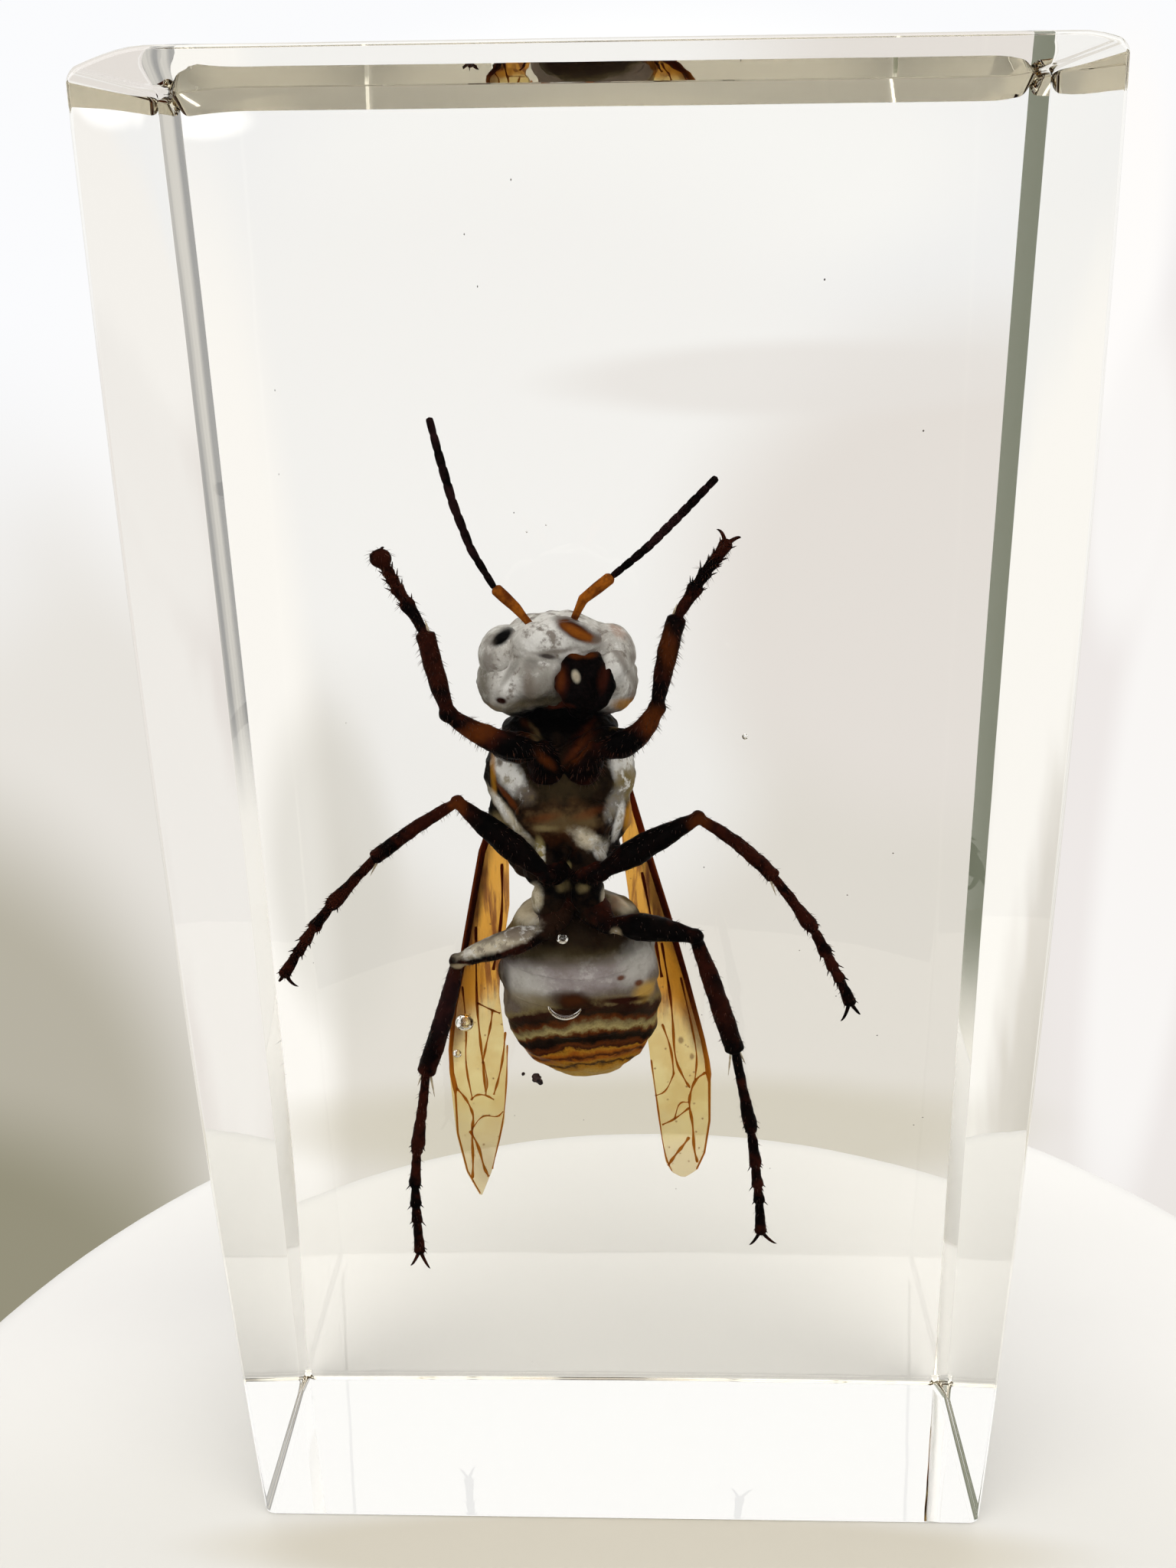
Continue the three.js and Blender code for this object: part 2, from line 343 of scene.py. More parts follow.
class Wires:
    """Adds and joins the nodes of one tree."""

    def __init__(self, tree: NodeTree) -> None:
        """Works on a tree.

        Args:
            tree: The node tree to fill.
        """
        self.tree = tree

    @classmethod
    def material(cls, name: str) -> tuple[Material, "Wires"]:
        """Starts a material.

        Args:
            name: Its name.

        Returns:
            The empty material and its wires.
        """
        made = bpy.data.materials.new(name)
        made.use_nodes = True
        made.node_tree.nodes.clear()
        return made, cls(made.node_tree)

    def add(self, kind: str, inputs: dict | None = None, **settings: object) -> Node:
        """Adds a node.

        Args:
            kind: The node's type.
            inputs: A value or an output for each input, by its name or place.
            settings: Values of the node's own properties.

        Returns:
            The new node.
        """
        made = self.tree.nodes.new(kind)
        for name, value in settings.items():
            setattr(made, name, value)
        for name, value in (inputs or {}).items():
            if isinstance(value, NodeSocket):
                self.tree.links.new(value, made.inputs[name])
            else:
                made.inputs[name].default_value = value
        return made

    def maths(self, operation: str, *values: object) -> NodeSocket:
        """Adds a sum on numbers and returns its output.

        Args:
            operation: The sum's name.
            values: Its numbers or outputs, in order.

        Returns:
            The result.
        """
        return self.add("ShaderNodeMath", dict(enumerate(values)), operation=operation).outputs[0]

    def vector(self, operation: str, *values: object) -> NodeSocket:
        """Adds a sum on vectors.

        Args:
            operation: The sum's name.
            values: Its vectors or outputs, in order.

        Returns:
            The result, which is a number for LENGTH.
        """
        made = self.add("ShaderNodeVectorMath", dict(enumerate(values)), operation=operation)
        return made.outputs["Value" if operation == "LENGTH" else "Vector"]

    def axis(self, place: NodeSocket, letter: str) -> NodeSocket:
        """Splits a vector and returns one of its parts."""
        return self.add("ShaderNodeSeparateXYZ", {0: place}).outputs[letter]

    def ramp(self, value: object, low: float, high: float, start: float = 0.0,
             end: float = 1.0) -> NodeSocket:
        """Turns a range of values smoothly into another.

        Args:
            value: What is read.
            low: Where the ramp starts.
            high: Where it ends.
            start: Result at the start.
            end: Result at the end.

        Returns:
            The result.
        """
        inputs = {0: value, 1: low, 2: high, 3: start, 4: end}
        return self.add("ShaderNodeMapRange", inputs, interpolation_type="SMOOTHSTEP").outputs[0]

    def blend(self, mask: object, low: object, high: object) -> NodeSocket:
        """Mixes two colours by a mask.

        Args:
            mask: Share of the second colour.
            low: First colour.
            high: Second colour.

        Returns:
            The mixed colour.
        """
        return self.add("ShaderNodeMix", {0: mask, 6: low, 7: high}, data_type="RGBA").outputs[2]

    def grain(self, place: object, scale: float, detail: float = 3.0,
              rough: float = 0.55) -> NodeSocket:
        """Adds a noise pattern.

        Args:
            place: Where it is read, in millimetres.
            scale: Waves in a millimetre.
            detail: Number of finer layers.
            rough: Strength of the finer layers.

        Returns:
            The pattern, about 0.5 on average.
        """
        inputs = {"Vector": place, "Scale": scale, "Detail": detail, "Roughness": rough}
        return self.add("ShaderNodeTexNoise", inputs).outputs["Fac"]

    def millimetres(self) -> NodeSocket:
        """Adds the object's own coordinates in millimetres and returns them."""
        where = self.add("ShaderNodeTexCoord").outputs["Object"]
        inputs = {0: where, "Scale": 1 / MM}
        return self.add("ShaderNodeVectorMath", inputs, operation="SCALE").outputs[0]

    def surface(self, colour: NodeSocket, height: NodeSocket, relief: Pair,
                values: dict[str, object]) -> None:
        """Ends a material with a bumped surface.

        Args:
            colour: Its colour.
            height: The bump's height.
            relief: The bump's strength, and its depth in millimetres.
            values: A value or an output for each other socket of the surface.
        """
        inputs = {"Height": height, "Strength": relief[0], "Distance": relief[1] * MM}
        bump = self.add("ShaderNodeBump", inputs).outputs["Normal"]
        shader = self.add("ShaderNodeBsdfPrincipled", {"Base Color": colour, "Normal": bump, **values})
        self.add("ShaderNodeOutputMaterial", {"Surface": shader.outputs[0]})


@dataclass(frozen=True)
class Socket:
    """One named socket of a group."""

    name: str
    kind: str = "Float"
    value: object = None
    output: bool = False

    def make(self, tree: NodeTree) -> str:
        """Adds the socket to a tree and returns its identifier."""
        way = "OUTPUT" if self.output else "INPUT"
        made = tree.interface.new_socket(self.name, in_out=way, socket_type=f"NodeSocket{self.kind}")
        if self.value is not None:
            made.default_value = self.value
        return made.identifier


class PatternGroups:
    """Shader groups that several finishes share, each built once."""

    @staticmethod
    @cache
    def patch() -> NodeTree:
        """Builds the soft oval patch, ragged at its rim, that fades out behind a depth."""
        tree = bpy.data.node_groups.new("soft_patch", "ShaderNodeTree")
        for socket in (
            Socket("Place", "Vector"), Socket("Centre", "Vector"), Socket("Half Size", "Vector"),
            Socket("Turn"), Socket("Edge", value=0.3), Socket("Wobble"), Socket("Ragged", value=0.5),
            Socket("Depth Limit", value=0.0), Socket("Mask", output=True),
        ):
            socket.make(tree)
        wires = Wires(tree)
        given = wires.add("NodeGroupInput").outputs
        away = wires.vector("SUBTRACT", given["Place"], given["Centre"])
        turned = wires.add("ShaderNodeVectorRotate", {"Vector": away, "Angle": given["Turn"]},
                           rotation_type="Y_AXIS").outputs[0]
        far = wires.vector("LENGTH", wires.vector("DIVIDE", turned, given["Half Size"]))
        waves = wires.maths("SUBTRACT", given["Wobble"], 0.5)
        ragged = wires.maths("MULTIPLY_ADD", waves, given["Ragged"], far)
        outer = wires.maths("ADD", given["Edge"], 1.0)
        inner = wires.maths("SUBTRACT", 1.0, given["Edge"])
        back = wires.maths("ADD", given["Depth Limit"], 0.5)
        front = wires.maths("SUBTRACT", given["Depth Limit"], 0.5)
        seen = wires.ramp(wires.axis(given["Place"], "Y"), back, front)
        mask = wires.maths("MULTIPLY", wires.ramp(ragged, outer, inner), seen)
        wires.add("NodeGroupOutput", {"Mask": mask})
        return tree

    @staticmethod
    @cache
    def relief() -> NodeTree:
        """Builds the shell's relief: lumps, pits and a fine grain, with two mottling masks."""
        tree = bpy.data.node_groups.new("shell_relief", "ShaderNodeTree")
        for socket in (
            Socket("Place", "Vector"), Socket("Coarse", value=0.6), Socket("Fine", value=9.0),
            Socket("Height", output=True), Socket("Mottle", output=True), Socket("Speckle", output=True),
        ):
            socket.make(tree)
        wires = Wires(tree)
        given = wires.add("NodeGroupInput").outputs
        lumps = wires.grain(given["Place"], given["Coarse"], 4.0, 0.6)
        fine = wires.grain(given["Place"], given["Fine"], 3.0, 0.6)
        pits = wires.add("ShaderNodeTexVoronoi", {"Vector": given["Place"], "Scale": given["Fine"]},
                         feature="SMOOTH_F1").outputs["Distance"]
        grain = wires.maths("MULTIPLY", fine, pits)
        height = wires.maths("MULTIPLY_ADD", lumps, 0.8, wires.maths("MULTIPLY", grain, 0.35))
        wires.add("NodeGroupOutput", {
            "Height": height,
            "Mottle": wires.ramp(lumps, 0.42, 0.6),
            "Speckle": wires.ramp(fine, 0.45, 0.66),
        })
        return tree

# finishes


@dataclass(frozen=True)
class Patch:
    """An oval mark on the shell, or a patch of painted shade: where it is, half its size, its turn and its
    tone.
    """

    x: float
    z: float
    wide: float
    high: float
    tone: Tone
    turn: float = 0.0
    edge: float = 0.3
    ragged: float = 0.9
    share: float = 1.0
    depth: float = 0.0
    film: bool = False

    def mask(self, wires: Wires, place: NodeSocket, wave: NodeSocket, reach: float = 0.0) -> NodeSocket:
        """Adds the mark's mask.

        Args:
            wires: The material's nodes.
            place: Coordinates in millimetres.
            wave: Noise for its rim.
            reach: How much further back than its own depth it goes.

        Returns:
            The mask, 0 to the mark's share.
        """
        made = wires.add("ShaderNodeGroup", {
            "Place": place, "Wobble": wave, "Centre": (self.x, 0.0, self.z),
            "Half Size": (self.wide, FAR, self.high), "Turn": math.radians(-self.turn), "Edge": self.edge,
            "Ragged": self.ragged, "Depth Limit": self.depth + reach,
        }, node_tree=PatternGroups.patch())
        return wires.maths("MULTIPLY", made.outputs["Mask"], self.share)


@dataclass(frozen=True)
class Film(Patch):
    """A mark where trapped air shines."""

    film: bool = True


@dataclass(frozen=True)
class ShellFinish:
    """Dry shell: a dark base, a mottling tone, marks, patches of painted shade and patches of bright air film.
    """

    name: str
    base: Tone
    mottle: Tone
    speckle: Tone
    marks: tuple[Patch, ...] = ()
    bands: tuple[tuple[float, Tone], ...] = ()
    band_slope: float = 0.0
    band_bow: float = 0.0
    band_middle: float = 0.0
    coarse: float = 0.6
    fine: float = 9.0
    relief: float = 0.12
    roughness: float = 0.42
    wobble: float = 1.1
    stain: Tone = Tone.TAUPE
    stain_scale: float = 1.5
    stain_share: float = 0.75
    gleam: float = 0.85
    reach: float = 0.0

    def build(self) -> Material:
        """Makes the material and returns it."""
        material, wires = Wires.material(self.name)
        place = wires.millimetres()
        relief = wires.add("ShaderNodeGroup", {"Place": place, "Coarse": self.coarse, "Fine": self.fine},
                           node_tree=PatternGroups.relief()).outputs
        wave = wires.grain(place, self.wobble, 4.0, 0.6)
        colour = wires.blend(relief["Mottle"], self.base.rgba, self.mottle.rgba)
        if self.bands:
            colour = self._banded(wires, place, wave, colour)
        colour = wires.blend(wires.maths("MULTIPLY", relief["Speckle"], 0.2), colour, self.speckle.rgba)
        film: object = 0.0
        for mark in self.marks:
            mask = mark.mask(wires, place, wave, self.reach)
            colour = wires.blend(mask, colour, mark.tone.rgba)
            cover = mask if mark.film else wires.maths("SUBTRACT", 1.0, mask)
            film = wires.maths("MAXIMUM" if mark.film else "MULTIPLY", film, cover)
        if any(mark.film for mark in self.marks):
            blotch = wires.grain(place, self.stain_scale, 5.0, 0.68)
            dark = wires.maths("MULTIPLY", wires.ramp(blotch, 0.49, 0.64, 0.0, self.stain_share), film)
            colour = wires.blend(dark, colour, self.stain.rgba)
            light = wires.maths("MULTIPLY", wires.ramp(blotch, 0.47, 0.36, 0.0, self.gleam), film)
            colour = wires.blend(light, colour, Tone.PEARL.rgba)
        wires.surface(colour, relief["Height"], (self.relief, 0.3), {
            "Roughness": wires.ramp(film, 0.0, 1.0, self.roughness, 0.3), "Specular IOR Level": 0.015,
        })
        return material

    def _banded(self, wires: Wires, place: NodeSocket, wave: NodeSocket, colour: NodeSocket) -> NodeSocket:
        """Lays sloping, bowed bands over a colour.

        Args:
            wires: The material's nodes.
            place: Coordinates in millimetres.
            wave: Slow noise that makes the bands uneven.
            colour: The colour under them.

        Returns:
            The banded colour.
        """
        across = wires.maths("SUBTRACT", wires.axis(place, "X"), self.band_middle)
        level = wires.maths("MULTIPLY_ADD", across, -self.band_slope, wires.axis(place, "Z"))
        bow = wires.maths("MULTIPLY", wires.maths("MULTIPLY", across, across), self.band_bow)
        level = wires.maths("ADD", level, bow)
        level = wires.maths("MULTIPLY_ADD", wave, 1.3, level)
        low, high = self.bands[0][0], self.bands[-1][0]
        share = wires.add("ShaderNodeMapRange", {0: level, 1: low + 0.65, 2: high + 0.65}).outputs[0]
        ramp = wires.add("ShaderNodeValToRGB", {"Fac": share})
        elements = ramp.color_ramp.elements
        while len(elements) < len(self.bands):
            elements.new(1.0)
        for element, (height, tone) in zip(elements, self.bands):
            element.position = (height - low) / (high - low)
            element.color = tone.rgba
        return wires.blend(0.88, colour, ramp.outputs["Color"])


@dataclass(frozen=True)
class ResinFinish:
    """Clear casting resin: polished, faintly yellow, with a trace of ripple."""

    index: float = 1.52
    tint: Triple = (0.93, 0.87, 0.66)
    density: float = 8.0
    ripple: float = 0.012

    def build(self) -> Material:
        """Makes the material and returns it."""
        material, wires = Wires.material("clear_resin")
        ripple = wires.grain(wires.millimetres(), 0.16, 1.0, 0.4)
        bump = wires.add("ShaderNodeBump", {"Height": ripple, "Strength": self.ripple,
                                            "Distance": 1.0 * MM}).outputs["Normal"]
        shader = wires.add("ShaderNodeBsdfPrincipled", {
            "Base Color": (1.0, 1.0, 1.0, 1.0), "Roughness": 0.0, "IOR": self.index,
            "Transmission Weight": 1.0, "Normal": bump,
        })
        inside = wires.add("ShaderNodeVolumeAbsorption", {"Color": (*self.tint, 1.0),
                                                          "Density": self.density})
        wires.add("ShaderNodeOutputMaterial", {"Surface": shader.outputs[0],
                                               "Volume": inside.outputs[0]})
        return material


@dataclass(frozen=True)
class WingFinish:
    """Smoky amber wing film: clear straw cells, an amber fold near the root and a brown front edge."""

    name: str
    amber_end: float
    marks: tuple[Patch, ...]

    def build(self) -> Material:
        """Makes the material and returns it."""
        material, wires = Wires.material(self.name)
        place = wires.millimetres()
        wave = wires.grain(place, 0.9, 4.0, 0.6)
        clouds = wires.ramp(wires.grain(place, 0.55, 3.0, 0.5), 0.35, 0.68)
        colour = wires.blend(clouds, (0.93, 0.8, 0.42, 1.0), (0.84, 0.66, 0.3, 1.0))
        stretched = wires.add("ShaderNodeMapping", {"Vector": place, "Scale": (3.2, 1.0, 0.35)}).outputs[0]
        streak = wires.ramp(wires.grain(stretched, 1.0, 3.0, 0.6), 0.42, 0.66)
        height = wires.maths("MULTIPLY_ADD", wave, 3.0, wires.axis(place, "Z"))
        upper = wires.ramp(height, self.amber_end + 0.5, self.amber_end + 3.2)
        amber = wires.blend(streak, (0.78, 0.38, 0.05, 1.0), (0.26, 0.065, 0.008, 1.0))
        colour = wires.blend(wires.maths("MULTIPLY", upper, 0.92), colour, amber)
        tip = wires.ramp(height, self.amber_end - 3.5, self.amber_end - 7.5)
        colour = wires.blend(tip, colour, (0.8, 0.69, 0.45, 1.0))
        for mark in self.marks:
            colour = wires.blend(mark.mask(wires, place, wave, FAR), colour, mark.tone.rgba)
        dust = wires.add("ShaderNodeTexVoronoi", {"Vector": place, "Scale": 1.7}).outputs["Distance"]
        colour = wires.blend(wires.ramp(dust, 0.16, 0.05, 0.0, 0.75), colour, (0.32, 0.15, 0.04, 1.0))
        wires.surface(colour, wave, (0.2, 0.1), {
            "Roughness": 0.25, "IOR": 1.01, "Transmission Weight": 0.93,
        })
        return material


@dataclass(frozen=True)
class VeinFinish:
    """Horn-like vein: brown, and letting light through."""

    clear: float = 0.85

    @cache
    def build(self) -> Material:
        """Makes the material once and returns it."""
        material, wires = Wires.material("vein")
        place = wires.millimetres()
        pattern = wires.grain(place, 1.1, 3.0, 0.6)
        level = wires.maths("MULTIPLY_ADD", pattern, 3.0, wires.axis(place, "Z"))
        colour = wires.blend(wires.ramp(level, 27.0, 32.0), (0.46, 0.17, 0.022, 1), (0.1, 0.018, 0.003, 1))
        wires.surface(colour, pattern, (0.2, 0.05), {
            "Roughness": 0.35, "IOR": 1.01, "Transmission Weight": self.clear,
        })
        return material


@dataclass(frozen=True)
class PlainFinish:
    """Small two-tone finish for hairs, spurs and dust, with its clouds in a millimetre."""

    name: str
    tone: Tone
    second: Tone
    scale: float
    roughness: float

    @cache
    def build(self) -> Material:
        """Makes the material once and returns it."""
        material, wires = Wires.material(self.name)
        pattern = wires.grain(wires.millimetres(), self.scale)
        colour = wires.blend(wires.ramp(pattern, 0.38, 0.64), self.tone.rgba, self.second.rgba)
        wires.surface(colour, pattern, (0.15, 0.05), {"Roughness": self.roughness})
        return material


# geometry node trees


class Growth:
    """Geometry node trees for what repeats or follows a path, each built once."""

    @staticmethod
    def _start(name: str, *sockets: Socket) -> tuple[Wires, NodeOutputs]:
        """Starts a tree.

        Args:
            name: Its name.
            sockets: Its inputs between the geometry and the material.

        Returns:
            The tree's wires and its input node's outputs.
        """
        tree = bpy.data.node_groups.new(name, "GeometryNodeTree")
        shape = Socket("Geometry", "Geometry"), Socket("Geometry", "Geometry", output=True)
        for socket in (*shape, *sockets, Socket("Material", "Material")):
            socket.make(tree)
        wires = Wires(tree)
        return wires, wires.add("NodeGroupInput").outputs

    @staticmethod
    def _end(wires: Wires, geometry: NodeSocket, material: NodeSocket) -> None:
        """Ends a tree with real geometry and its material.

        Args:
            wires: The tree's nodes.
            geometry: What was made.
            material: The material input.
        """
        real = wires.add("GeometryNodeRealizeInstances", {0: geometry}).outputs[0]
        dressed = wires.add("GeometryNodeSetMaterial", {"Geometry": real, "Material": material}).outputs[0]
        smooth = wires.add("GeometryNodeSetShadeSmooth", {"Geometry": dressed}).outputs[0]
        wires.add("NodeGroupOutput", {0: smooth})

    @staticmethod
    def _between(wires: Wires, low: object, high: object, seed: NodeSocket) -> NodeSocket:
        """Adds random vectors between two and returns them."""
        inputs = {"Min": low, "Max": high, "Seed": seed}
        return wires.add("FunctionNodeRandomValue", inputs, data_type="FLOAT_VECTOR").outputs["Value"]

    @classmethod
    @cache
    def bristles(cls) -> NodeTree:
        """Builds the coat of bristles that lean along a limb."""
        wires, given = cls._start(
            "bristle_coat", Socket("Density", value=4.0), Socket("Length", value=0.3),
            Socket("Thickness", value=0.014), Socket("Lean", "Vector", (0.0, 0.0, -0.8)),
            Socket("Seed", "Int", 3),
        )
        scatter = wires.add("GeometryNodeDistributePointsOnFaces", {
            "Mesh": given["Geometry"], "Density": given["Density"], "Seed": given["Seed"],
        }, distribute_method="RANDOM")
        cone = wires.add("GeometryNodeMeshCone", {
            "Vertices": 4, "Radius Top": 0.002, "Radius Bottom": given["Thickness"], "Depth": given["Length"],
        }).outputs["Mesh"]
        leaning = wires.vector("ADD", scatter.outputs["Normal"], given["Lean"])
        turn = wires.add("FunctionNodeAlignRotationToVector", {"Vector": leaning}, axis="Z").outputs[0]
        placed = wires.add("GeometryNodeInstanceOnPoints", {
            "Points": scatter.outputs["Points"], "Instance": cone, "Rotation": turn,
            "Scale": cls._between(wires, (0.7, 0.7, 0.45), (1.2, 1.2, 1.25), given["Seed"]),
        }).outputs[0]
        cls._end(wires, placed, given["Material"])
        return wires.tree

    @classmethod
    @cache
    def veins(cls) -> NodeTree:
        """Builds round veins along polylines, as thick as their points say."""
        wires, given = cls._start("vein_tubes", Socket("Thickness", value=1.0), Socket("Sides", "Int", 8))
        curve = wires.add("GeometryNodeMeshToCurve", {"Mesh": given["Geometry"]}).outputs[0]
        wide = wires.add("GeometryNodeInputNamedAttribute", {"Name": "thick"}, data_type="FLOAT")
        size = wires.maths("MULTIPLY", wide.outputs["Attribute"], given["Thickness"])
        sized = wires.add("GeometryNodeSetCurveRadius", {"Curve": curve, "Radius": size}).outputs[0]
        ring = wires.add("GeometryNodeCurvePrimitiveCircle", {"Resolution": given["Sides"], "Radius": 1.0})
        inputs = {"Curve": sized, "Profile Curve": ring.outputs[0], "Fill Caps": True}
        tube = wires.add("GeometryNodeCurveToMesh", inputs)
        if "Scale" in tube.inputs:
            wires.tree.links.new(size, tube.inputs["Scale"])
        cls._end(wires, tube.outputs[0], given["Material"])
        return wires.tree

    @classmethod
    @cache
    def dust(cls) -> NodeTree:
        """Builds a scatter of specks inside a box."""
        wires, given = cls._start(
            "dust_scatter", Socket("Count", "Int", 30), Socket("Lowest", "Vector"),
            Socket("Highest", "Vector"), Socket("Size", value=0.04), Socket("Seed", "Int", 5),
        )
        spread = cls._between(wires, given["Lowest"], given["Highest"], given["Seed"])
        points = wires.add("GeometryNodePoints", {"Count": given["Count"], "Position": spread}).outputs[0]
        speck = wires.add("GeometryNodeMeshIcoSphere", {"Radius": given["Size"], "Subdivisions": 1})
        placed = wires.add("GeometryNodeInstanceOnPoints", {
            "Points": points, "Instance": speck.outputs[0],
            "Scale": cls._between(wires, (0.4, 0.3, 0.4), (1.3, 0.9, 1.5), given["Seed"]),
        }).outputs[0]
        cls._end(wires, placed, given["Material"])
        return wires.tree

    @staticmethod
    def grow(tree: NodeTree, mesh: Mesh, values: dict[str, object]) -> Mesh:
        """Runs a tree on a mesh.

        Args:
            tree: The geometry node tree.
            mesh: What it grows on, in millimetres.
            values: Value of each named input.

        Returns:
            The grown mesh, in millimetres.
        """
        made = Workshop.link("growing", mesh)
        modifier = made.modifiers.new("growth", "NODES")
        modifier.node_group = tree
        for item in tree.interface.items_tree:
            if item.in_out == "INPUT" and item.name in values:
                modifier[item.identifier] = values[item.name]
        return Workshop.settle(made)

# the resin block


@dataclass(frozen=True)
class Arc:
    """A thin curved air gap: its middle, radius, first and last angle in degrees, and thickness."""

    x: float
    y: float
    z: float
    radius: float
    start: float
    end: float
    thick: float


@dataclass
class ResinBlock:
    """The casting: a tall block with swelling sides, a sloping top, chamfered rear edges and bubbles."""

    width: float = 39.6
    bulge: float = 0.6
    depth: float = 20.0
    height: float = 73.0
    front_edge: float = 0.2
    shoulder_width: float = 39.6
    rear_width: float = 38.6
    rear_run: float = 2.6
    rear_bow: float = 0.15
    left_slant: float = 0.35
    left_slant_rise: Pair = (2.0, 15.0)
    top_drop: float = 0.92
    top_run: float = 1.02
    foot_edge: float = 0.4
    blend: float = 0.04
    corner: float = 0.45
    corner_steps: int = 8
    side_steps: int = 48
    top_steps: int = 72
    depth_steps: int = 24
    top_rise: float = 0.3
    top_slope: float = -0.03
    top_lean: float = -0.012
    top_fall: Pair = (3.4, 1.8)
    bubbles: tuple[tuple[float, float, float, float], ...] = (
        (-7.9, 1.6, 27.66, 0.5), (-8.4, 1.7, 25.75, 0.24), (-2.3, -4.4, 34.5, 0.3),
        (6.56, -2.0, 44.35, 0.15), (-3.5, -1.0, 54.1, 0.05), (-2.6, -1.0, 54.4, 0.04),
    )
    arcs: tuple[Arc, ...] = (
        Arc(-2.25, -5.05, 31.15, 0.85, 192.0, 338.0, 0.13),
    )

    def _lift(self, x: float, y: float) -> float:
        """Height of the top face over the block's height, falling off towards its left and right ends."""
        half = self.width / 2
        left, right = self.top_fall
        share = min(1.0, max(0.0, (x + half) / left)), min(1.0, max(0.0, (half - x) / right))
        fade = math.prod(math.sin(math.pi / 2 * t) for t in share)
        return (self.top_rise + self.top_slope * y + self.top_lean * x) * fade

    def _half_width(self, z: float) -> float:
        """Half of the width at a height."""
        return self.width / 2 + self.bulge * (1 - (2 * z / self.height - 1) ** 2)

    def _outline(self) -> tuple[np.ndarray, np.ndarray]:
        """Finds the front outline, counter-clockwise as seen from the front, and its normals.

        Returns:
            Points and outward normals in X and Z.
        """
        half = self.width / 2
        points: list[Pair] = []

        def arc(sign: int, z: float, start: float) -> None:
            """Adds a round corner."""
            for i in range(self.corner_steps + 1):
                angle = math.radians(start + 90 * i / self.corner_steps)
                points.append((sign * (half - self.corner) + self.corner * math.cos(angle),
                               z + self.corner * math.sin(angle)))

        low, high = self.corner, self.height - self.corner
        levels = [low + (high - low) * i / self.side_steps for i in range(1, self.side_steps)]
        inner = half - self.corner
        arc(1, low, -90)
        points.extend((self._half_width(z), z) for z in levels)
        arc(1, high, 0)
        points.extend((inner - 2 * inner * i / self.top_steps, self.height) for i in range(1, self.top_steps))
        arc(-1, high, 90)
        points.extend((-self._half_width(z), z) for z in reversed(levels))
        arc(-1, low, 180)
        outline = np.array(points)
        step = np.roll(outline, -1, 0) - np.roll(outline, 1, 0)
        normals = np.stack([step[:, 1], -step[:, 0]], 1)
        normals /= np.linalg.norm(normals, axis=1, keepdims=True)
        level = np.isclose(outline[:, 1], 0) | np.isclose(outline[:, 1], self.height)
        normals[level] = np.stack([np.zeros(level.sum()), np.sign(outline[level, 1] - 1)], 1)
        return outline, normals

    def _stations(self) -> list[float]:
        """Finds the depths of the block's rings, close together where an edge bends."""
        half = self.depth / 2
        front = [-half + self.front_edge * (1 - math.cos(math.pi / 2 * i / 8)) for i in range(9)]
        places = [*front, *np.linspace(front[-1], half, self.depth_steps).tolist()]
        for run in (self.rear_run, self.top_run):
            places += [half - run - self.blend, half - run + self.blend]
        places += [half - self.foot_edge * (1 - math.sin(math.pi / 2 * i / 8)) for i in range(9)]
        ordered = sorted(places)
        return [y for y, before in zip(ordered, [-99.0, *ordered]) if y - before > 0.004]

    def _front(self, y: float) -> Pair | None:
        """Finds the inset and the slant near the front edge, or None behind it."""
        lift = (-y - self.depth / 2 + self.front_edge) / self.front_edge
        if lift <= 0:
            return None
        return self.front_edge * (1 - math.sqrt(max(0.0, 1 - lift * lift))), -math.asin(min(1.0, lift))

    def _side(self, x: float, y: float, z: float) -> Pair:
        """Finds the inset and the slant of an upright face: a slight taper, then the rear bevel.

        The left bevel is shallower towards the foot.

        Args:
            x: Across, which tells the two faces apart.
            y: Depth.
            z: Up.

        Returns:
            The inset and the slant, positive towards the rear.
        """
        front = self._front(y)
        if front:
            return front
        half = self.depth / 2
        long = self.depth - self.rear_run
        taper = (self._half_width(z) - self.shoulder_width / 2) / long
        share = (y - half + self.rear_run) / self.rear_run
        if share <= 0:
            return taper * (y + half), math.atan(taper)
        drop = (self.shoulder_width - self.rear_width) / 2
        if x < 0:
            low, high = self.left_slant_rise
            drop *= self.left_slant + (1 - self.left_slant) * min(1.0, max(0.0, (z - low) / (high - low)))
        slope = drop / self.rear_run * (1 - self.rear_bow + 2 * self.rear_bow * share)
        return taper * long + drop * share * (1 - self.rear_bow * (1 - share)), math.atan(slope)

    def _level(self, y: float, upper: bool) -> Pair:
        """Finds the inset and the slant of the top or the bottom face.

        Args:
            y: Depth.
            upper: Whether it is the top.

        Returns:
            The inset and the slant, positive towards the rear.
        """
        front = self._front(y)
        if front:
            return front
        half = self.depth / 2
        if upper:
            share = (y - half + self.top_run) / self.top_run
            return (self.top_drop * share, math.atan2(self.top_drop, self.top_run)) if share > 0 else (0.0, 0.0)
        lift = min(1.0, (y - half + self.foot_edge) / self.foot_edge)
        return (self.foot_edge * (1 - math.sqrt(1 - lift * lift)), math.asin(lift)) if lift > 0 else (0.0, 0.0)

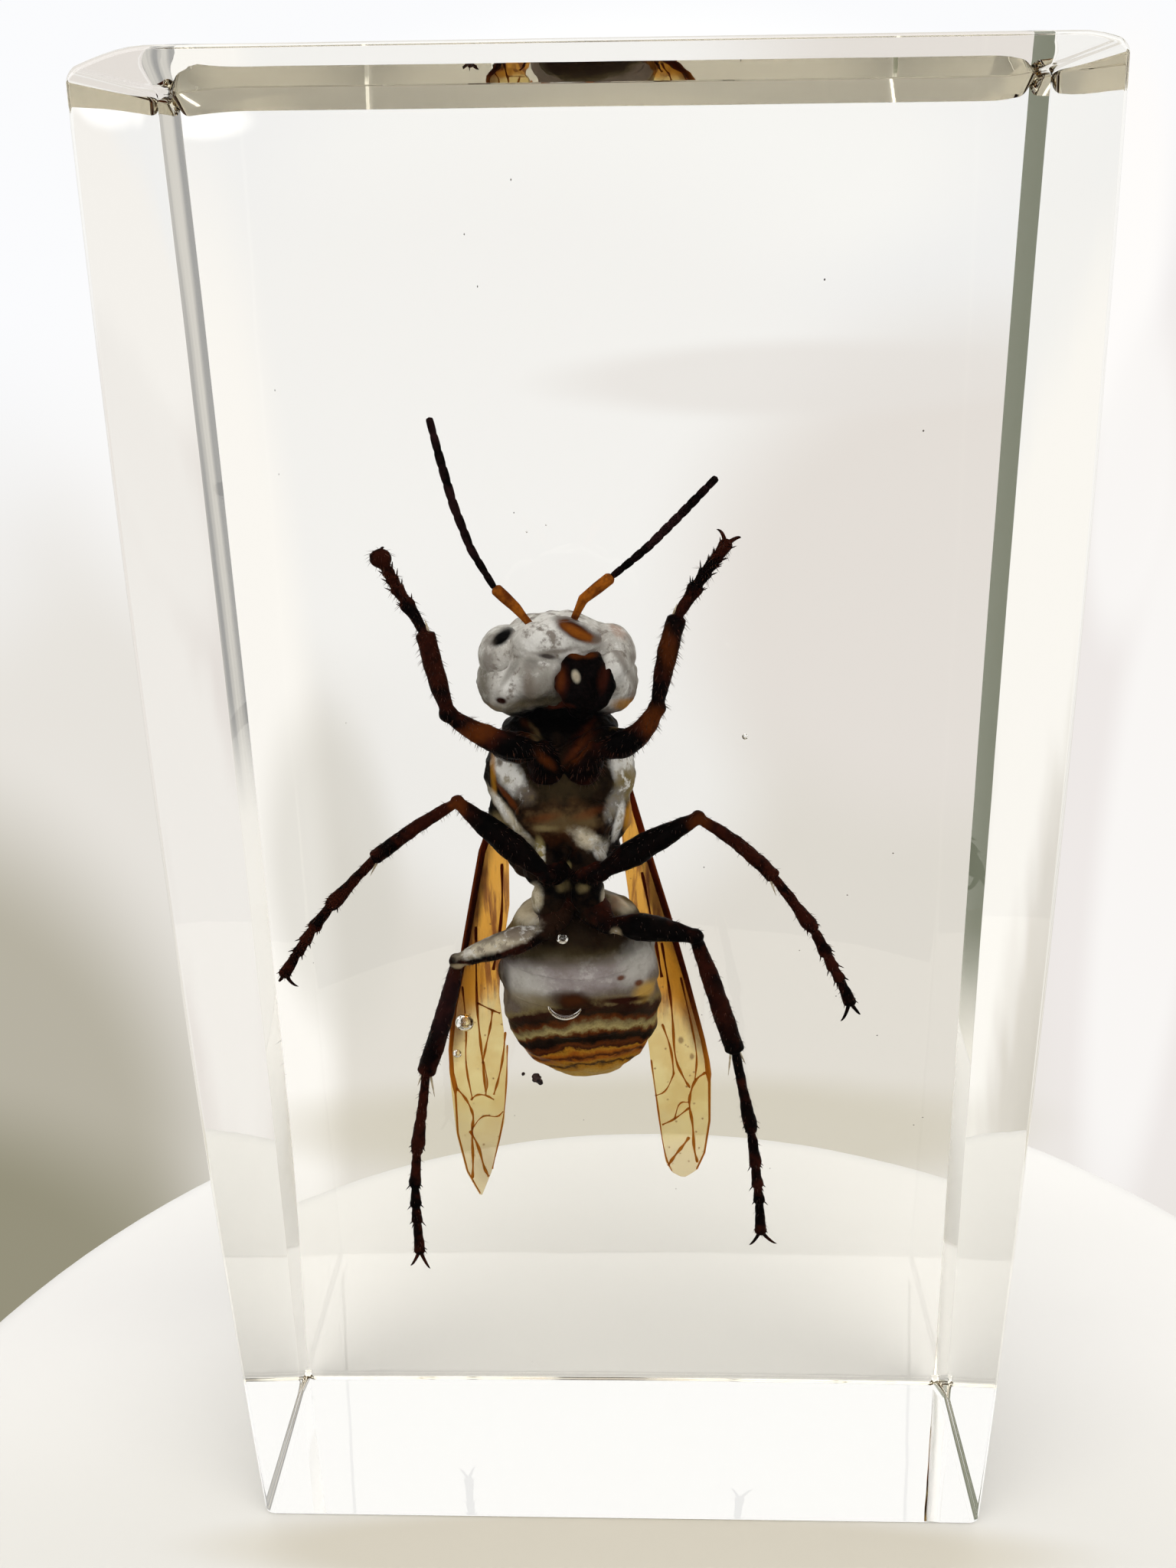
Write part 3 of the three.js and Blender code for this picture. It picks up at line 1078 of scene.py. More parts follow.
    def _point(self, x: float, z: float, out: Pair, y: float) -> tuple[Triple, Triple]:
        """Finds one point of the skin.

        Args:
            x: Across, on the front outline.
            z: Up, on the front outline.
            out: The outline's normal there.
            y: Depth.

        Returns:
            The point and its normal.
        """
        inset, slant = self._side(x, y, z)
        drop, tilt = self._level(y, z > self.height / 2)
        fade = max(0.0, (z - self.height + self.corner) / self.corner)
        if abs(out[0]) < 1e-6:
            across = x * (1 - inset / (self.width / 2))
        else:
            across = x - math.copysign(inset, x)
        place = (across, y, z - out[1] * drop + self._lift(x, y) * fade)
        up = out[1] * math.cos(tilt)
        step = 0.01
        slope = [0.0, 0.0]
        if fade > 0.99:
            slope = [(self._lift(x + a, y + b) - self._lift(x - a, y - b)) / (2 * step)
                     for a, b in ((step, 0.0), (0.0, step))]
        away = out[0] * out[0] * math.sin(slant) + out[1] * out[1] * math.sin(tilt)
        normal = Vector((out[0] * math.cos(slant) - slope[0] * up, away - slope[1] * up, up)).normalized()
        return place, tuple(normal)

    def _gap(self, arc: Arc) -> tuple[Form, list[Vector]]:
        """Makes a thin curved void.

        Args:
            arc: Its shape.

        Returns:
            Its form, and the place in its middle that each of its points looks away from.
        """
        steps, sides = 32, 12
        path, radii = [], []
        for i in range(steps + 1):
            angle = math.radians(arc.start + (arc.end - arc.start) * i / steps)
            path.append(Vector((arc.x + arc.radius * math.cos(angle), arc.y,
                                arc.z + arc.radius * math.sin(angle))))
            radii.append(arc.thick * (0.12 + 0.88 * math.sin(math.pi * i / steps) ** 0.6))
        void = Form()
        void.tube(path, radii, sides)
        return void, [path[i // sides] for i in range((steps + 1) * sides)] + [path[1], path[-2]]

    def mesh(self) -> Mesh:
        """Makes the block with its bubbles and gaps as voids and returns the mesh."""
        outline, outward = self._outline()
        count = len(outline)
        stations = self._stations()
        skin = [self._point(*place, out, y) for y in stations for place, out in zip(outline, outward)]
        points = [place for place, _ in skin]
        faces: list[tuple[int, ...]] = []
        for i in range(len(stations) - 1):
            for k in range(count):
                turn = (k + 1) % count
                faces.append((i * count + k, (i + 1) * count + k, (i + 1) * count + turn, i * count + turn))
        last = (len(stations) - 1) * count
        split = [skin[i][1] for face in faces for i in face]
        faces.append(tuple(range(count)))
        faces.append(tuple(last + k for k in range(count))[::-1])
        split += [(0.0, -1.0, 0.0)] * count + [(0.0, 1.0, 0.0)] * count
        voids = [self._gap(arc) for arc in self.arcs]
        for *place, radius in reversed(self.bubbles):
            void = Form()
            void.balls(Ball(*place, radius, radius, radius), sides=40)
            voids.insert(0, (void, [Vector(place)] * len(void.points)))
        for void, middles in voids:
            start = len(points)
            points.extend(tuple(p) for p in void.points)
            for face in void.faces:
                faces.append(tuple(start + i for i in face)[::-1])
                split.extend(tuple((middles[i] - void.points[i]).normalized()) for i in face[::-1])
        mesh = bpy.data.meshes.new("resin_block")
        mesh.from_pydata(points, [], faces)
        mesh.shade_smooth()
        mesh.normals_split_custom_set(split)
        return mesh

    def build(self) -> None:
        """Makes the finished casting."""
        Workshop.piece("resin_block", self.mesh(), ResinFinish().build(), ("resin_front", "resin_back"),
                       Slot.RESIN)


# the hornet


def lumps(scale: float, depth: float) -> Callable[[Vector], float]:
    """Makes a slow noise for dents in a shell.

    Args:
        scale: Waves in a millimetre.
        depth: Largest distance in or out.

    Returns:
        A function from a place to its distance.
    """

    def at(place: Vector) -> float:
        """Distance outwards at a place."""
        return noise.fractal(place * scale, 1.0, 2.0, 3) * depth
    return at


def shell_piece(name: str, form: Form, melt: tuple[float, int], dents: Pair,
                finish: ShellFinish | PlainFinish, nodes: Sequence[str] = ("hornet",)) -> None:
    """Makes a piece from overlapping shapes that are melted together and dented.

    Args:
        name: The piece's name.
        form: The shapes.
        melt: Grid size and rounds of smoothing.
        dents: Waves in a millimetre, and the largest distance in or out.
        finish: What it is made of.
        nodes: CAD nodes that it stands for.
    """
    mesh = Workshop.fuse(form, *melt)
    Workshop.dent(mesh, lumps(*dents))
    Workshop.piece(name, mesh, finish.build(), nodes)


@dataclass
class Head:
    """The head: crown, cheeks, eyes, face shield, jaws and feelers of the mouth."""

    skull: tuple[Ball, ...] = (
        Ball(-2.3, -0.3, 47.85, 3.3, 3.1, 2.35),
        Ball(-4.35, -0.4, 46.95, 1.75, 2.6, 1.75),
        Ball(-0.2, -0.4, 46.95, 1.7, 2.6, 1.75),
        Ball(-2.3, -2.2, 49.0, 2.1, 1.3, 1.3),
        Ball(-1.3, -2.9, 49.5, 1.25, 0.7, 0.7, 12),
        Ball(-3.3, -2.7, 47.3, 1.0, 0.8, 0.9),
        Ball(0.2, -2.5, 47.6, 0.8, 0.9, 1.2, 20),
        Ball(-2.3, 1.4, 46.8, 2.8, 1.6, 1.9),
    )
    eyes: tuple[Ball, ...] = (
        Ball(-4.85, -0.6, 48.35, 1.15, 2.05, 1.35, 28),
        Ball(0.25, -0.6, 48.35, 1.15, 2.05, 1.35, -28),
    )
    jaws: tuple[Ball, ...] = (
        Ball(-1.35, -3.0, 47.95, 0.72, 0.85, 0.85, -10),
        Ball(-0.65, -3.0, 47.7, 0.7, 0.85, 1.05, 12),
        Ball(-1.1, -3.1, 46.7, 0.85, 0.95, 1.2),
    )
    skull_marks_and_painted_shade: tuple[Patch, ...] = (
        Film(-2.3, 48.2, 4.3, 3.2, Tone.SILVER, edge=0.15, ragged=0.3, depth=0.3),
        Film(-2.5, 49.6, 1.3, 0.7, Tone.PEARL, turn=10, edge=0.6),
        Film(-4.4, 47.2, 0.5, 0.7, Tone.PEARL, turn=-20, edge=0.7),
        Film(0.75, 48.0, 0.4, 1.3, Tone.PEARL, turn=-30, edge=0.6, share=0.8),
        Patch(0.35, 48.9, 0.16, 1.1, Tone.TAUPE, turn=-38, edge=0.6, share=0.7),
        Patch(1.05, 47.6, 0.14, 0.9, Tone.TAUPE, turn=-20, edge=0.6, share=0.6),
        # Painted shade under the brow.
        Patch(-2.95, 47.0, 1.0, 1.0, Tone.OLIVE, edge=0.8, ragged=1.5, share=0.6),
        Patch(-4.9, 48.4, 0.7, 0.2, Tone.TAUPE, turn=-24, edge=0.8, ragged=1.2, share=0.7),
        Patch(-2.6, 46.3, 1.9, 0.45, Tone.OLIVE, edge=0.6, share=0.9),
        Patch(-3.4, 48.25, 0.4, 0.3, Tone.ASH, edge=0.6, share=0.9),
        Patch(-4.35, 47.9, 0.16, 0.9, Tone.ASH, turn=35, edge=0.6, share=0.8),
        # Painted shade along the head's left, bottom, right and top rims.
        Patch(-5.75, 48.0, 0.3, 2.6, Tone.OLIVE, edge=0.8, share=0.75),
        Patch(-4.9, 45.75, 1.5, 0.4, Tone.KHAKI, turn=-14, edge=0.8, share=0.7),
        Patch(1.45, 48.2, 0.22, 2.0, Tone.OLIVE, edge=0.8, share=0.7),
        Patch(-3.6, 50.55, 1.5, 0.28, Tone.KHAKI, turn=-14, edge=0.8, share=0.7),
        Patch(-1.25, 49.82, 1.1, 0.36, Tone.MAROON, turn=26, edge=0.4, ragged=0.5, depth=-2.0),
        Patch(-1.12, 49.72, 0.85, 0.2, Tone.ORANGE, turn=26, edge=0.6, ragged=0.5, depth=-2.0,
              share=0.6),
        Patch(-0.35, 49.4, 0.2, 0.14, Tone.TAUPE, turn=26, edge=0.5, share=0.8),
        Patch(-2.2, 48.9, 0.9, 0.13, Tone.TAUPE, turn=-6, edge=0.7, share=0.75),
        Patch(-3.55, 47.2, 0.3, 0.8, Tone.TAUPE, turn=-8, edge=0.8, share=0.8),
        Patch(0.3, 50.0, 0.5, 0.2, Tone.HONEY, turn=40, edge=0.5, share=0.6),
        Patch(-2.6, 48.65, 0.42, 0.14, Tone.PLUM, turn=8, edge=0.4, share=0.9),
        Film(-2.8, 48.28, 0.26, 0.12, Tone.PEARL, turn=10, edge=0.4),
        Patch(-4.9, 46.4, 0.26, 0.18, Tone.MAROON, edge=0.4, ragged=0.4),
        Patch(-1.1, 47.0, 0.95, 1.5, Tone.BLACK, edge=0.25, ragged=0.6),
        Patch(-2.05, 47.4, 0.35, 0.7, Tone.MAROON, turn=8, edge=0.6, share=0.9),
        Patch(-2.2, 45.3, 2.7, 0.75, Tone.BLACK, edge=0.3),
        Patch(0.9, 45.9, 0.6, 0.35, Tone.AMBER, turn=25, edge=0.5, share=0.8),
    )
    eye_marks: tuple[Patch, ...] = (
        Film(-5.0, 48.3, 1.9, 2.2, Tone.SILVER, edge=0.25, ragged=0.5, depth=0.4),
        Film(0.5, 48.3, 1.7, 1.7, Tone.SILVER, edge=0.35, depth=0.4),
        Patch(0.5, 49.6, 0.6, 0.2, Tone.ORANGE, turn=45, edge=0.6, share=0.45, depth=-0.6),
        Patch(1.3, 48.2, 0.15, 1.2, Tone.TAUPE, turn=-12, edge=0.6, share=0.6),
        Patch(-4.8, 49.3, 0.62, 0.25, Tone.BLACK, turn=-30, edge=0.4, ragged=0.5, depth=-0.8),
        Patch(-5.5, 48.3, 0.3, 0.9, Tone.TAUPE, turn=10, edge=0.7, share=0.6),
    )
    jaw_marks: tuple[Patch, ...] = (
        Patch(-2.0, 47.5, 0.3, 0.7, Tone.MAROON, turn=8, edge=0.6),
        Patch(-2.02, 47.6, 0.16, 0.45, Tone.RUST, turn=8, edge=0.9, ragged=1.2, share=0.6),
        Patch(-0.1, 47.6, 0.25, 0.6, Tone.MAROON, turn=10, edge=0.5),
        Patch(-1.0, 48.75, 0.6, 0.2, Tone.RUST, edge=0.5, share=0.8),
        Patch(-2.2, 46.35, 0.7, 0.2, Tone.MAROON, edge=0.4),
        Film(-1.32, 47.78, 0.17, 0.28, Tone.CREAM, turn=-12, edge=0.5, ragged=0.4, share=0.9),
    )

    def build(self) -> None:
        """Makes the skull, the eyes and the mouth."""
        skull, eyes, mouth = Form(), Form(), Form()
        skull.balls(*self.skull)
        shell_piece("head", skull, (0.1, 6), (0.9, 0.16), ShellFinish(
            "head_shell", Tone.MAROON, Tone.RUST, Tone.UMBER, self.skull_marks_and_painted_shade, relief=0.5, coarse=0.9,
            stain_scale=1.1, stain_share=0.85))
        eyes.balls(*self.eyes, sides=36)
        shell_piece("eyes", eyes, (0.08, 3), (1.2, 0.05), ShellFinish(
            "eye_facets", Tone.UMBER, Tone.BLACK, Tone.OLIVE, self.eye_marks, fine=16.0, relief=0.4,
            roughness=0.25))
        mouth.balls(*self.jaws)
        jaw, palp = [0.4, 0.4, 0.32, 0.12], [0.14, 0.12, 0.09]
        mouth.tube([(-2.05, -2.9, 47.9), (-1.95, -3.5, 47.2), (-1.6, -3.9, 46.6), (-1.1, -4.0, 46.2)], jaw)
        mouth.tube([(0.1, -2.8, 47.9), (0.1, -3.5, 47.2), (-0.2, -3.9, 46.5), (-0.7, -4.0, 46.0)], jaw)
        mouth.tube([(-1.7, -3.4, 46.5), (-2.3, -3.6, 46.2), (-2.9, -3.4, 46.1)], palp)
        shell_piece("jaws", mouth, (0.08, 3), (1.5, 0.1), ShellFinish(
            "jaw_shell", Tone.BLACK, Tone.BLACK, Tone.PLUM, self.jaw_marks, relief=0.3, stain_share=0.2))


@dataclass
class Thorax:
    """The middle of the body: collar, chest, rear plate, hips of the legs and the thin waist."""

    balls: tuple[Ball, ...] = (
        Ball(-2.4, 0.5, 42.0, 3.8, 3.4, 2.7),
        Ball(-2.4, 0.2, 40.2, 3.6, 3.5, 2.6),
        Ball(-2.3, 0.0, 38.2, 2.9, 3.0, 2.2),
        Ball(-2.3, 0.2, 44.3, 2.9, 2.3, 1.2),
        Ball(-2.3, 0.2, 45.5, 1.4, 1.4, 1.1),
        Ball(-3.3, -2.5, 43.9, 1.3, 0.9, 0.6, 28),
        Ball(-1.4, -2.5, 43.9, 1.3, 0.9, 0.6, -28),
        Ball(-4.3, -2.8, 44.1, 1.2, 0.9, 0.75),
        Ball(-0.2, -2.8, 44.2, 1.4, 0.9, 0.8, -15),
        Ball(-3.2, -2.6, 40.0, 1.5, 0.9, 1.4, 30),
        Ball(-1.2, -2.6, 40.0, 1.5, 0.9, 1.4, -30),
        Ball(-3.2, -2.9, 38.0, 0.95, 1.0, 1.2, 20),
        Ball(-1.0, -2.9, 38.1, 0.95, 1.0, 1.2, -20),
        Ball(-2.95, -2.5, 36.2, 0.9, 1.1, 1.3, 14),
        Ball(-1.05, -2.5, 36.3, 0.9, 1.1, 1.3, -14),
        Ball(-2.1, -0.8, 36.3, 1.6, 1.9, 1.4),
        Ball(-1.9, -0.8, 34.9, 0.75, 0.8, 1.2),
        Ball(-2.3, 2.4, 42.6, 2.6, 1.2, 2.6),
        Ball(-2.3, 2.7, 39.6, 1.6, 0.8, 0.9),
    )
    marks: tuple[Patch, ...] = (
        Patch(-2.2, 45.2, 2.4, 0.6, Tone.BLACK, edge=0.4),
        Patch(-2.0, 42.4, 2.4, 1.4, Tone.UMBER, edge=0.7, ragged=1.5, share=0.9),
        Patch(-2.2, 42.0, 1.8, 0.9, Tone.KHAKI, edge=0.9, ragged=3.2, share=0.12),
        Patch(-2.1, 40.2, 2.1, 0.9, Tone.RUST, edge=0.8, ragged=3.0, share=0.3),
        Patch(-2.1, 40.4, 1.9, 0.5, Tone.KHAKI, edge=0.8, ragged=3.4, share=0.4),
        Patch(-3.3, 44.1, 1.2, 0.24, Tone.RUST, turn=52, edge=0.8, ragged=1.4, share=0.6),
        Patch(-3.0, 44.1, 0.9, 0.12, Tone.KHAKI, turn=52, edge=0.8, ragged=1.4, share=0.4),
        Patch(-1.3, 44.2, 1.1, 0.3, Tone.MAROON, turn=-50, edge=0.8, ragged=1.4, share=0.9),
        Patch(-1.3, 44.2, 0.9, 0.14, Tone.RUST, turn=-50, edge=0.8, ragged=1.8, share=0.4),
        Patch(0.75, 45.3, 0.55, 0.22, Tone.HONEY, turn=-40, edge=0.5, share=0.7),
        Patch(-4.4, 44.2, 1.0, 0.75, Tone.BLACK, edge=0.3),
        Patch(0.7, 44.5, 1.4, 0.7, Tone.BLACK, turn=-18, edge=0.3),
        Film(-4.75, 42.55, 0.6, 1.0, Tone.PEARL, turn=-32, edge=0.4, depth=1.0),
        Film(-4.0, 41.7, 0.5, 0.4, Tone.TAUPE, turn=30, edge=0.7, share=0.8),
        Patch(-5.2, 43.05, 0.14, 0.2, Tone.TAUPE, edge=0.5, depth=1.0, share=0.9),
        Patch(-5.55, 42.3, 0.14, 1.1, Tone.AMBER, edge=0.6, depth=1.5, share=0.7),
        Film(0.75, 42.9, 0.55, 1.0, Tone.PEARL, turn=-12, edge=0.4, depth=1.0),
        Film(0.95, 41.6, 0.5, 0.9, Tone.KHAKI, turn=-8, edge=0.5, depth=1.0),
        Film(0.35, 41.0, 0.4, 0.7, Tone.ASH, turn=20, edge=0.6, share=0.8),
        Film(-4.6, 40.2, 1.5, 0.26, Tone.CREAM, turn=46, edge=0.6, depth=1.0, share=0.95),
        Film(-5.2, 40.7, 0.6, 0.2, Tone.SILVER, turn=50, edge=0.6, depth=1.0),
        Patch(-4.9, 41.4, 0.8, 0.16, Tone.RUST, turn=48, edge=0.5, depth=1.0, share=0.8),
        Patch(-5.3, 39.9, 0.5, 0.4, Tone.KHAKI, turn=48, edge=0.6, depth=1.5, share=0.8),
        Film(-3.3, 38.9, 0.24, 0.7, Tone.STRAW, turn=-4, edge=0.5, share=0.8),
        Patch(-3.1, 40.6, 0.8, 0.2, Tone.RUST, turn=-8, edge=0.8, ragged=1.8, share=0.55),
        Patch(-3.0, 40.1, 0.5, 0.16, Tone.KHAKI, turn=0, edge=0.6, share=0.7),
        Patch(-0.9, 40.8, 0.8, 0.18, Tone.RUST, turn=-14, edge=0.8, ragged=1.8, share=0.5),
        Film(-0.9, 39.5, 0.75, 0.4, Tone.CREAM, turn=25, edge=0.7, ragged=1.8),
        Film(-0.4, 38.9, 0.28, 0.5, Tone.SILVER, turn=-20, edge=0.5, ragged=1.2),
        Film(0.5, 39.9, 0.22, 0.9, Tone.PEARL, turn=14, edge=0.4, depth=1.0),
        Patch(1.1, 39.8, 0.35, 0.9, Tone.AMBER, turn=5, edge=0.4, depth=1.5),
        Patch(-1.95, 38.0, 0.14, 0.3, Tone.STRAW, turn=10, edge=0.5, share=0.7),
        Patch(-1.6, 37.7, 0.28, 0.1, Tone.STRAW, turn=-25, edge=0.5, share=0.6),
        Patch(-2.2, 36.9, 0.3, 0.24, Tone.KHAKI, turn=20, edge=0.8, ragged=1.8, share=0.7),
        Patch(-1.25, 36.95, 0.28, 0.22, Tone.KHAKI, turn=-20, edge=0.8, ragged=1.8, share=0.7),
        Film(-3.75, 36.3, 0.4, 0.8, Tone.CREAM, turn=10, edge=0.5, share=0.9),
        Film(0.1, 36.2, 0.4, 0.6, Tone.CREAM, turn=-10, edge=0.5, share=0.8),
    )

    def build(self) -> None:
        """Makes the thorax."""
        form = Form()
        form.balls(*self.balls)
        shell_piece("thorax", form, (0.1, 4), (0.9, 0.14), ShellFinish(
            "thorax_shell", Tone.BLACK, Tone.UMBER, Tone.UMBER, self.marks, relief=0.35, coarse=0.8,
            stain=Tone.KHAKI))


@dataclass
class Gaster:
    """The abdomen: overlapping rings round an axis that leans away at the tip."""

    top: Triple = (-1.8, -1.1, 35.6)
    tilt: float = 20.0
    lean: float = 1.5
    flattening: float = 0.86
    sides: int = 120
    lip: float = 0.13
    rims: tuple[float, ...] = (2.9, 4.9, 6.9, 8.7, 10.1, 11.1)
    profile: tuple[Pair, ...] = (
        (0.0, 0.25), (0.25, 1.7), (0.6, 2.5), (1.2, 3.2), (2.8, 3.9), (4.4, 4.1), (6.6, 4.15), (8.6, 3.85),
        (10.1, 3.1), (11.1, 2.15), (11.7, 1.15), (12.0, 0.25),
    )
    marks: tuple[Patch, ...] = (
        Patch(-1.6, 35.2, 1.8, 0.9, Tone.UMBER, edge=0.5),
        Film(-4.0, 35.3, 1.0, 0.8, Tone.CREAM, edge=0.5, turn=-35),
        Film(0.9, 35.6, 0.9, 0.6, Tone.CREAM, edge=0.5, turn=20),
        Patch(-4.0, 35.5, 0.9, 0.5, Tone.BONE, turn=-35, edge=0.8, ragged=2.2, share=0.7),
        Patch(-3.4, 35.2, 0.4, 0.4, Tone.RUST, edge=0.8, ragged=2.4, share=0.6),
        Patch(0.8, 35.7, 0.9, 0.4, Tone.AMBER, turn=20, edge=0.8, ragged=2.4, share=0.5),
        Patch(0.3, 35.5, 0.3, 0.4, Tone.RUST, edge=0.8, ragged=2.4, share=0.6),
        Film(-1.6, 31.9, 3.9, 0.95, Tone.LILAC, turn=-3, edge=0.5),
        Film(-4.3, 31.2, 1.0, 1.0, Tone.SILVER, edge=0.7, share=0.9),
        Film(1.3, 32.2, 0.9, 1.1, Tone.SILVER, turn=18, edge=0.7, share=0.9),
        Patch(1.75, 30.5, 0.6, 0.55, Tone.HONEY, turn=-10, edge=0.6, ragged=0.6, share=0.85),
        Patch(-4.0, 30.2, 1.1, 0.5, Tone.KHAKI, edge=0.7, share=0.7),
        Patch(-2.0, 32.9, 3.2, 0.5, Tone.OLIVE, edge=0.9, ragged=1.8, share=0.7),
        Patch(-5.5, 31.4, 0.25, 1.4, Tone.UMBER, edge=0.9, share=0.7),
        Patch(0.5, 31.65, 0.2, 0.16, Tone.RUST, edge=0.5, ragged=0.5, share=0.9),
        Patch(1.4, 31.1, 0.22, 0.2, Tone.RUST, edge=0.5, ragged=0.5, share=0.9),
        Patch(-2.0, 30.35, 1.0, 0.62, Tone.UMBER, edge=0.5, ragged=0.9),
        Patch(-2.0, 30.45, 0.7, 0.4, Tone.RUST, edge=0.8, ragged=1.2, share=0.4),
        Patch(0.6, 30.25, 1.2, 0.2, Tone.MAROON, turn=10, edge=0.5, ragged=0.7),
    )
    bands: tuple[tuple[float, Tone], ...] = (
        (25.3, Tone.HONEY), (25.7, Tone.AMBER), (25.95, Tone.UMBER), (26.15, Tone.AMBER),
        (26.5, Tone.ORANGE), (26.7, Tone.MAROON), (26.95, Tone.ORANGE), (27.15, Tone.AMBER),
        (27.3, Tone.MAROON), (27.5, Tone.RUST), (27.75, Tone.BLACK), (28.15, Tone.UMBER),
        (28.35, Tone.RUST), (28.6, Tone.STRAW), (28.95, Tone.KHAKI), (29.2, Tone.RUST),
        (29.5, Tone.UMBER), (30.05, Tone.MAROON), (30.35, Tone.KHAKI), (30.8, Tone.TAUPE),
        (32.3, Tone.TAUPE), (32.8, Tone.OLIVE), (33.4, Tone.UMBER), (34.8, Tone.UMBER),
        (36.0, Tone.KHAKI),
    )

    def _radius(self, along: float) -> float:
        """Radius of the shell with the lips of its rings.

        Args:
            along: Distance from its top.

        Returns:
            The radius.
        """
        places, radii = zip(*self.profile)
        base = float(np.interp(along, places, radii))
        starts = (0.0, *self.rims)
        index = max(i for i, start in enumerate(starts) if along >= start)
        end = self.rims[index] if index < len(self.rims) else self.profile[-1][0]
        share = (along - starts[index]) / (end - starts[index])
        return base + self.lip * (share ** 2 - 0.6) * min(1.0, base)

    def build(self) -> None:
        """Makes the gaster."""
        length = self.profile[-1][0]
        steps = np.linspace(0.0, length, 110)
        edges = [r + d for r in self.rims for d in (-0.02, 0.02)]
        stations = sorted({*steps.tolist(), *edges})
        place = (Matrix.Translation(self.top) @ Matrix.Rotation(math.radians(-self.lean), 4, "Y")
                 @ Matrix.Rotation(math.radians(self.tilt), 4, "X"))
        rings = []
        for along in stations:
            radius = self._radius(along)
            ring = []
            for k in range(self.sides):
                angle = -2 * math.pi * k / self.sides
                flat = self.flattening * (1.0 - 0.05 * max(0.0, -math.sin(angle)))
                local = Vector((radius * math.cos(angle), radius * math.sin(angle) * flat, -along))
                ring.append(place @ local)
            rings.append(ring)
        form = Form()
        form.rings(rings, (place @ Vector((0, 0, 0.05)), place @ Vector((0, 0, -length - 0.05))))
        mesh = form.mesh("gaster")
        Workshop.dent(mesh, lumps(0.55, 0.16))
        skin = ShellFinish(
            "gaster_shell", Tone.UMBER, Tone.OLIVE, Tone.MAROON, self.marks, self.bands, band_slope=0.12,
            band_bow=0.075, band_middle=-1.5, relief=0.3, roughness=0.35, stain_scale=0.8, stain_share=0.4,
            gleam=0.3)
        Workshop.piece("gaster", mesh, skin.build())


@dataclass(frozen=True)
class Leg:
    """One leg: its joints from the hip to the toe and the tips of its claws."""

    joints: tuple[Triple, ...]
    claws: tuple[Triple, Triple]
    toe: float = 0.34


